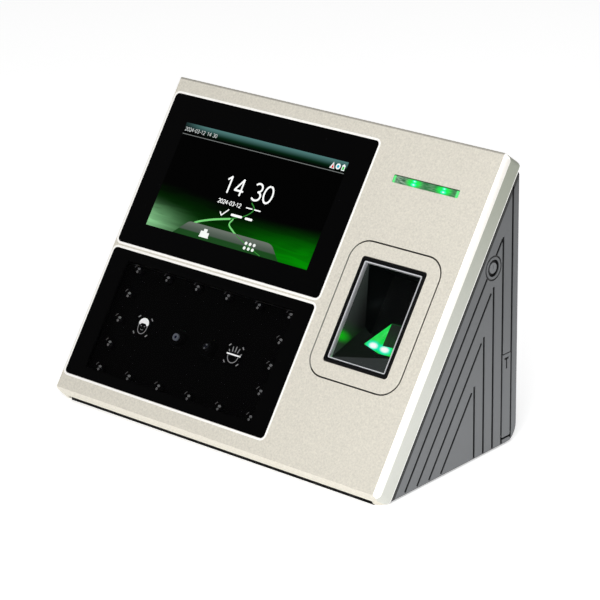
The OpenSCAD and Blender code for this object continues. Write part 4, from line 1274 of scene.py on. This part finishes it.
class TERMINAL_OT_light_bar(bpy.types.Operator):
    """Build the status light's clear bar with its crowned top"""

    bl_idname = "terminal.light_bar"
    bl_label = "Status light"

    def execute(self, context):
        low, high = FACE.extent("status_light_bar")
        flange = 3 * MM
        size = high[:2] - low[:2] - flange
        bar, base = Pile(), Pile()
        lines = [(-1.0, BAR_TOP), (-0.55, BAR_TOP), (-0.25, 0.0), (-0.05, -0.08), (0.0, -0.25),
                 (0.0, BAR_FOOT)]
        centre = FACE.spot("status_light_bar")
        rows = [rounded(centre, size, 0.5 * MM, grow * 0.5 * MM) for grow, _ in lines]
        heights = np.array([w * MM for _, w in lines])
        middle = np.broadcast_to(centre, rows[0].shape)
        stack = np.stack([middle, *rows, middle])
        levels = np.r_[BAR_TOP * MM, heights, BAR_FOOT * MM][:, None]
        bar.grid(FACE.at(stack[..., 0], stack[..., 1], levels), False, True)
        piece = bar.make("light_bar", light_bar_finish(), "light_guide")
        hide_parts("status_light_bar")
        slab(base, rounded(centre, size + flange, 0.8 * MM), -3.6 * MM, -2.4 * MM)
        base.make("light_bar_flange", finish_of("light_guide"), "light_guide")
        return {"FINISHED"}


# ---------------------------------------------------------------- fingerprint reader

SIGHT_SLOPE = (0.79, 0.144)        # a sight line's way across and down the slope for its depth
GLASS_BACK = 1.6                   # depth of the glass's back face, in millimetres
PLATE_THICK = 0.25 * MM            # thickness of the faces seen in the glass


class TERMINAL_OT_reader(bpy.types.Operator):
    """Build the reader's rubber frame, steel trim, glass top and lit prism"""

    bl_idname = "terminal.reader"
    bl_label = "Fingerprint reader"

    def execute(self, context):
        settings = context.scene.terminal_reader
        softened("reader_surround", "surround_shell", 0.28 * MM, 3)
        self.rubber(settings)
        self.trim()
        self.glass()
        self.cave()
        self.facets()
        return {"FINISHED"}

    def rubber(self, settings):
        """The rubber frame: a bar whose two top edges are quarter circles."""
        low, high = FACE.extent("reader_rubber")
        bar = 1.75 * MM
        crown = settings.frame_crown
        inner = arc((crown - bar, high[2] - crown), (crown, crown), 180, 90, 6)
        outer = arc((-crown, high[2] - crown), (crown, crown), 90, 0, 6)
        section = np.vstack([inner, outer, [(0.0, low[2]), (-bar, low[2])]])
        pile = Pile()
        rim(pile, FACE.spot("reader_rubber"), high[:2] - low[:2], 1.3 * MM, section)
        piece = pile.make("rubber_frame", finish_of("frame_rubber"), "frame_rubber")
        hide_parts("reader_rubber")

    def trim(self):
        """The steel trim: a thin bar with tiny chamfers that catch the light."""
        low, high = FACE.extent("reader_trim")
        bar, cut = 0.5 * MM, 0.12 * MM
        top = high[2]
        section = [(-bar, low[2]), (-bar, top - cut), (-bar + cut, top), (-cut, top),
                   (0.0, top - cut), (0.0, low[2])]
        pile = Pile()
        rim(pile, FACE.spot("reader_trim"), high[:2] - low[:2], 0.71 * MM, section)
        piece = pile.make("trim_frame", finish_of("trim_steel"), "trim_steel")
        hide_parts("reader_trim")

    def glass(self):
        """The glass top: a thin plate with a small chamfer."""
        low, high = FACE.extent("reader_prism")
        centre = FACE.spot("reader_prism")
        size = high[:2] - low[:2]
        rows = [rounded(centre, size, 0.3 * MM, grow * MM) for grow in (-0.15, 0.0, 0.0)]
        middle = np.broadcast_to(centre, rows[0].shape)
        stack = np.stack([middle, *rows, middle])
        levels = high[2] + np.array([0.0, 0.0, -0.15, -1.2, -1.2])[:, None] * MM
        pile = Pile()
        pile.grid(FACE.at(stack[..., 0], stack[..., 1], levels), False, True)
        piece = pile.make("prism_top", finish_of("prism_glass"), "prism_glass")
        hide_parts("reader_prism")

    def seen(self, x, v, deep):
        """A point under the glass, in millimetres from the reader's middle, set over by its depth
        times the slope of a sight line from the front right, so that it shows at x and v."""
        centre = FACE.spot("reader_prism")
        return [centre[0] + (x - SIGHT_SLOPE[0] * deep) * MM,
                centre[1] + (v + SIGHT_SLOPE[1] * deep) * MM, -(deep + GLASS_BACK) * MM]

    def cave(self):
        """The prism's inner faces: a left wall and a lower slope that meet in a deep fold."""
        low_left, top_left = self.seen(-15.1, -22.0, 0.2), self.seen(-15.1, 23.3, 0.2)
        low_right, fold = self.seen(15.1, -22.3, 0.2), self.seen(-3.7, -5.4, 8.0)
        rise = self.seen(16.3, -15.3, 6.0)
        wall, slope, back = Pile(), Pile(), Pile()
        # every face here gives painted light: the light of the reader's lamp that would reach it
        plates(wall, [[low_left, fold, top_left]])
        wall.make("prism_wall", wall_finish(self.seen(-13.6, -12.0, 2.0)), "prism_glass")
        plates(slope, [[low_left, low_right, rise]])
        slope.make("prism_slope", glow("prism_slope", tone(52, 55, 55), 0.7,
                                                    tone(40, 42, 42), 0.5), "prism_glass")
        plates(back, [[low_left, rise, fold]])
        back.make("prism_back", glow("prism_back", tone(9, 22, 13), 0.6,
                                                  tone(8, 10, 9), 0.5), "prism_glass")

    def facets(self):
        """The lit facets at the right: a sail, the lamp's window under it and a dim strip."""
        deep = 5.4
        apex, left = self.seen(9.2, -0.6, deep), self.seen(-3.8, -16.0, deep)
        foot, joint = self.seen(7.3, -14.8, deep), self.seen(8.9, -11.0, deep)
        right, heel = self.seen(15.9, -10.6, deep), self.seen(16.1, -14.5, deep)
        crest = self.seen(16.4, -0.4, deep)
        lit, dim, edge = Pile(), Pile(), Pile()
        plates(lit, [[left, foot, joint, apex], [foot, heel, right, joint]])
        hot = [self.seen(4.2, -12.0, deep), self.seen(10.6, -12.4, deep)]
        lit.make("prism_lit", facet_finish(hot), "green_lamp")
        plates(dim, [[joint, right, crest, apex]])
        dim.make("prism_dim", streak_finish(joint[1], apex[1]), "prism_glass")
        stroke(edge, [apex[:2], crest[:2]], 0.28 * MM, apex[2], apex[2] + 0.05 * MM)
        edge.make("prism_edge", glow("prism_edge", tone(34, 130, 62), 0.9), "prism_glass")


def plates(pile, corners_list):
    """Thin plates from their corners, each thickened inwards along its own normal."""
    for corners in corners_list:
        x, v, w = np.array(corners).T
        ring = FACE.at(x, v, w)
        normal = np.cross(ring[1] - ring[0], ring[-1] - ring[0])
        normal /= np.linalg.norm(normal)
        pile.grid(np.stack([ring, ring + normal * PLATE_THICK]), False, True, True)


def distance_mm(recipe, spot, stretch=(1.0, 1.0)):
    """How far a point is from a spot on the drawing board, in millimetres, each way stretched."""
    x, v, _ = recipe.board()
    across = (x - float(spot[0])) * (PER_METRE * stretch[0])
    up = (v - float(spot[1])) * (PER_METRE * stretch[1])
    return (across ** 2.0 + up ** 2.0) ** 0.5


def wall_finish(glow_spot):
    """Dark glass wall in painted light: grey by its outer edge, black towards the fold, a green
    glow low down.
    """
    recipe = Recipe("prism_wall")
    _, _, w = recipe.board()
    inwards = (-GLASS_BACK * MM - w).between(0.0, 7 * MM)
    haze = recipe.noise(recipe.place(), 140.0, 3.0)
    light = recipe.mix(tone(50, 56, 53), tone(3, 7, 5), inwards ** 0.7)
    light = recipe.mix(light, tone(6, 70, 12), distance_mm(recipe, glow_spot).falls(2.0, 9.0) * 0.5)
    light = recipe.mix(light, tone(4, 190, 14), distance_mm(recipe, glow_spot).falls(0.3, 3.6))
    return recipe.finish(Base_Color=(0.004, 0.004, 0.004), Emission_Color=light,
                         Emission_Strength=0.9, Roughness=0.3 + haze * 0.2, Specular_IOR_Level=0.1)


def facet_finish(spots):
    """Lit green glass: each hot spot is white in its middle, then cyan, then green."""
    recipe = Recipe("prism_lit")
    haze = recipe.noise(recipe.place(), 400.0, 2.0)
    light = recipe.mix(tone(10, 196, 48), tone(40, 236, 96), haze)
    for spot in spots:
        away = distance_mm(recipe, spot, (0.62, 1.1))
        light = recipe.mix(light, tone(0, 244, 200), away.falls(1.3, 3.0))
        light = recipe.mix(light, tone(255, 255, 255), away.falls(0.7, 1.9))
    return recipe.finish(Base_Color=(0.004, 0.02, 0.01), Emission_Color=light,
                         Emission_Strength=1.15, Roughness=0.2 + haze * 0.1)


def streak_finish(low, high):
    """Dim green painted light in the glass, with upright streaks that fade upwards."""
    recipe = Recipe("prism_dim")
    spot = recipe.on_face()
    streaks = recipe.noise(recipe.mapped(spot, scale=(1, 0.1, 0.1)), 1400.0, 3.0)
    _, v, _ = recipe.parts(spot)
    fade = v.falls(float(low), float(high))
    light = recipe.mix(tone(2, 14, 6), tone(6, 66, 18), streaks.between(0.35, 0.65) * fade)
    return recipe.finish(Base_Color=(0.003, 0.006, 0.004), Emission_Color=light,
                         Emission_Strength=0.9, Roughness=0.3 + streaks * 0.1)


# ---------------------------------------------------------------- stage

def area_light(name, spot, aim, size, power):
    """A rectangular soft white light at a spot, turned to its aim."""
    light = bpy.data.lights.new(name, "AREA")
    light.shape = "RECTANGLE"
    light.size, light.size_y = size
    light.energy = power
    lamp = bpy.data.objects.new(name, light)
    lamp.location = spot
    lamp.rotation_euler = (Vector(aim) - Vector(spot)).to_track_quat("-Z", "Y").to_euler()
    bpy.context.scene.collection.objects.link(lamp)


class TERMINAL_OT_stage(bpy.types.Operator):
    """Set up the pale floor, the soft lights and the camera"""

    bl_idname = "terminal.stage"
    bl_label = "Stage"

    def execute(self, context):
        settings = context.scene.terminal_stage
        self.floor(settings.floor_size)
        self.sky(settings.sky)
        self.lights()
        self.camera(settings)
        context.scene.view_settings.view_transform = "Standard"
        return {"FINISHED"}

    def floor(self, size):
        """A flat grid at the height of the table."""
        line = np.linspace(-size / 2, size / 2, 5)
        x, y = np.meshgrid(line, line)
        pile = Pile()
        pile.grid(np.stack([x, y, np.zeros_like(x)], -1))
        mesh = pile.mesh("floor")
        recipe = Recipe("floor")
        haze = recipe.noise(recipe.place(), 4.0, 2.0)
        mesh.materials.append(recipe.finish(
            Base_Color=recipe.mix((0.9, 0.9, 0.9), (0.93, 0.93, 0.93), haze), Roughness=0.9,
            Specular_IOR_Level=0.0, Emission_Color=(1.0, 1.0, 1.0), Emission_Strength=0.46))
        floor = bpy.data.objects.new("floor", mesh)
        bpy.context.scene.collection.objects.link(floor)

    def sky(self, strength):
        """Even light from all round."""
        world = bpy.data.worlds.new("sky")
        world.use_nodes = True
        background = world.node_tree.nodes["Background"]
        background.inputs["Color"].default_value = (1, 1, 1, 1)
        background.inputs["Strength"].default_value = strength
        bpy.context.scene.world = world

    def lights(self):
        """A wide light overhead, one far to the right and a small near one at the front right."""
        aim = (0, 0, 0.07)
        area_light("overhead", (0.1, -0.1, 1.5), aim, (1.8, 1.6), 8.8)
        area_light("right_wall", (1.4, 0.21, 0.12), aim, (0.5, 0.3), 1.6)
        area_light("front_right", (0.3, -0.42, 0.36), (0.0, 0.0, 0.08), (0.2, 0.2), 1.5)

    def camera(self, settings):
        """The camera at its distance from the target, turned by azimuth, elevation and roll."""
        azimuth, elevation, roll = settings.azimuth, settings.elevation, settings.roll
        back = Vector((math.sin(azimuth) * math.cos(elevation),
                       -math.cos(azimuth) * math.cos(elevation), math.sin(elevation)))
        right = Vector((math.cos(azimuth), math.sin(azimuth), 0.0))
        up = back.cross(right)
        rolled_right = right * math.cos(roll) + up * math.sin(roll)
        rolled_up = up * math.cos(roll) - right * math.sin(roll)
        turn = Matrix((rolled_right, rolled_up, back)).transposed().to_4x4()
        data = bpy.data.cameras.new("camera")
        data.lens = settings.lens
        data.sensor_width = 36.0
        data.clip_start = 0.05
        camera = bpy.data.objects.new("camera", data)
        place_in_world = Vector(settings.target) + back * settings.distance
        camera.matrix_world = Matrix.Translation(place_in_world) @ turn
        bpy.context.scene.collection.objects.link(camera)
        bpy.context.scene.camera = camera


# ---------------------------------------------------------------- the add-on

OPERATORS = (
    TERMINAL_OT_finishes, TERMINAL_OT_cover, TERMINAL_OT_housing, TERMINAL_OT_screen,
    TERMINAL_OT_signs, TERMINAL_OT_lenses, TERMINAL_OT_light_bar, TERMINAL_OT_reader,
    TERMINAL_OT_stage,
)
SETTINGS = {
    "terminal_finish": TerminalFinish,
    "terminal_screen": TerminalScreen,
    "terminal_reader": TerminalReader,
    "terminal_stage": TerminalStage,
}


class TERMINAL_PT_panel(bpy.types.Panel):
    """The terminal's settings and steps"""

    bl_label = "Fingerprint terminal"
    bl_idname = "TERMINAL_PT_panel"
    bl_space_type = "VIEW_3D"
    bl_region_type = "UI"
    bl_category = "Terminal"

    def draw(self, context):
        for name, group in SETTINGS.items():
            box = self.layout.box()
            for field in group.__annotations__:
                box.prop(getattr(context.scene, name), field)
        for operator in OPERATORS:
            self.layout.operator(operator.bl_idname)


def register():
    """Adds the classes and the settings to Blender."""
    for cls in (*SETTINGS.values(), *OPERATORS, TERMINAL_PT_panel):
        bpy.utils.register_class(cls)
    for name, group in SETTINGS.items():
        setattr(bpy.types.Scene, name, PointerProperty(type=group))


def unregister():
    """Takes the settings and the classes out again."""
    for name in SETTINGS:
        delattr(bpy.types.Scene, name)
    for cls in (TERMINAL_PT_panel, *reversed(OPERATORS), *SETTINGS.values()):
        bpy.utils.unregister_class(cls)


def main():
    register()
    for operator in OPERATORS:
        step = operator.bl_idname.split(".")[1]
        getattr(bpy.ops.terminal, step)()
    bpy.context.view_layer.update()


if __name__ == "__main__":
    main()
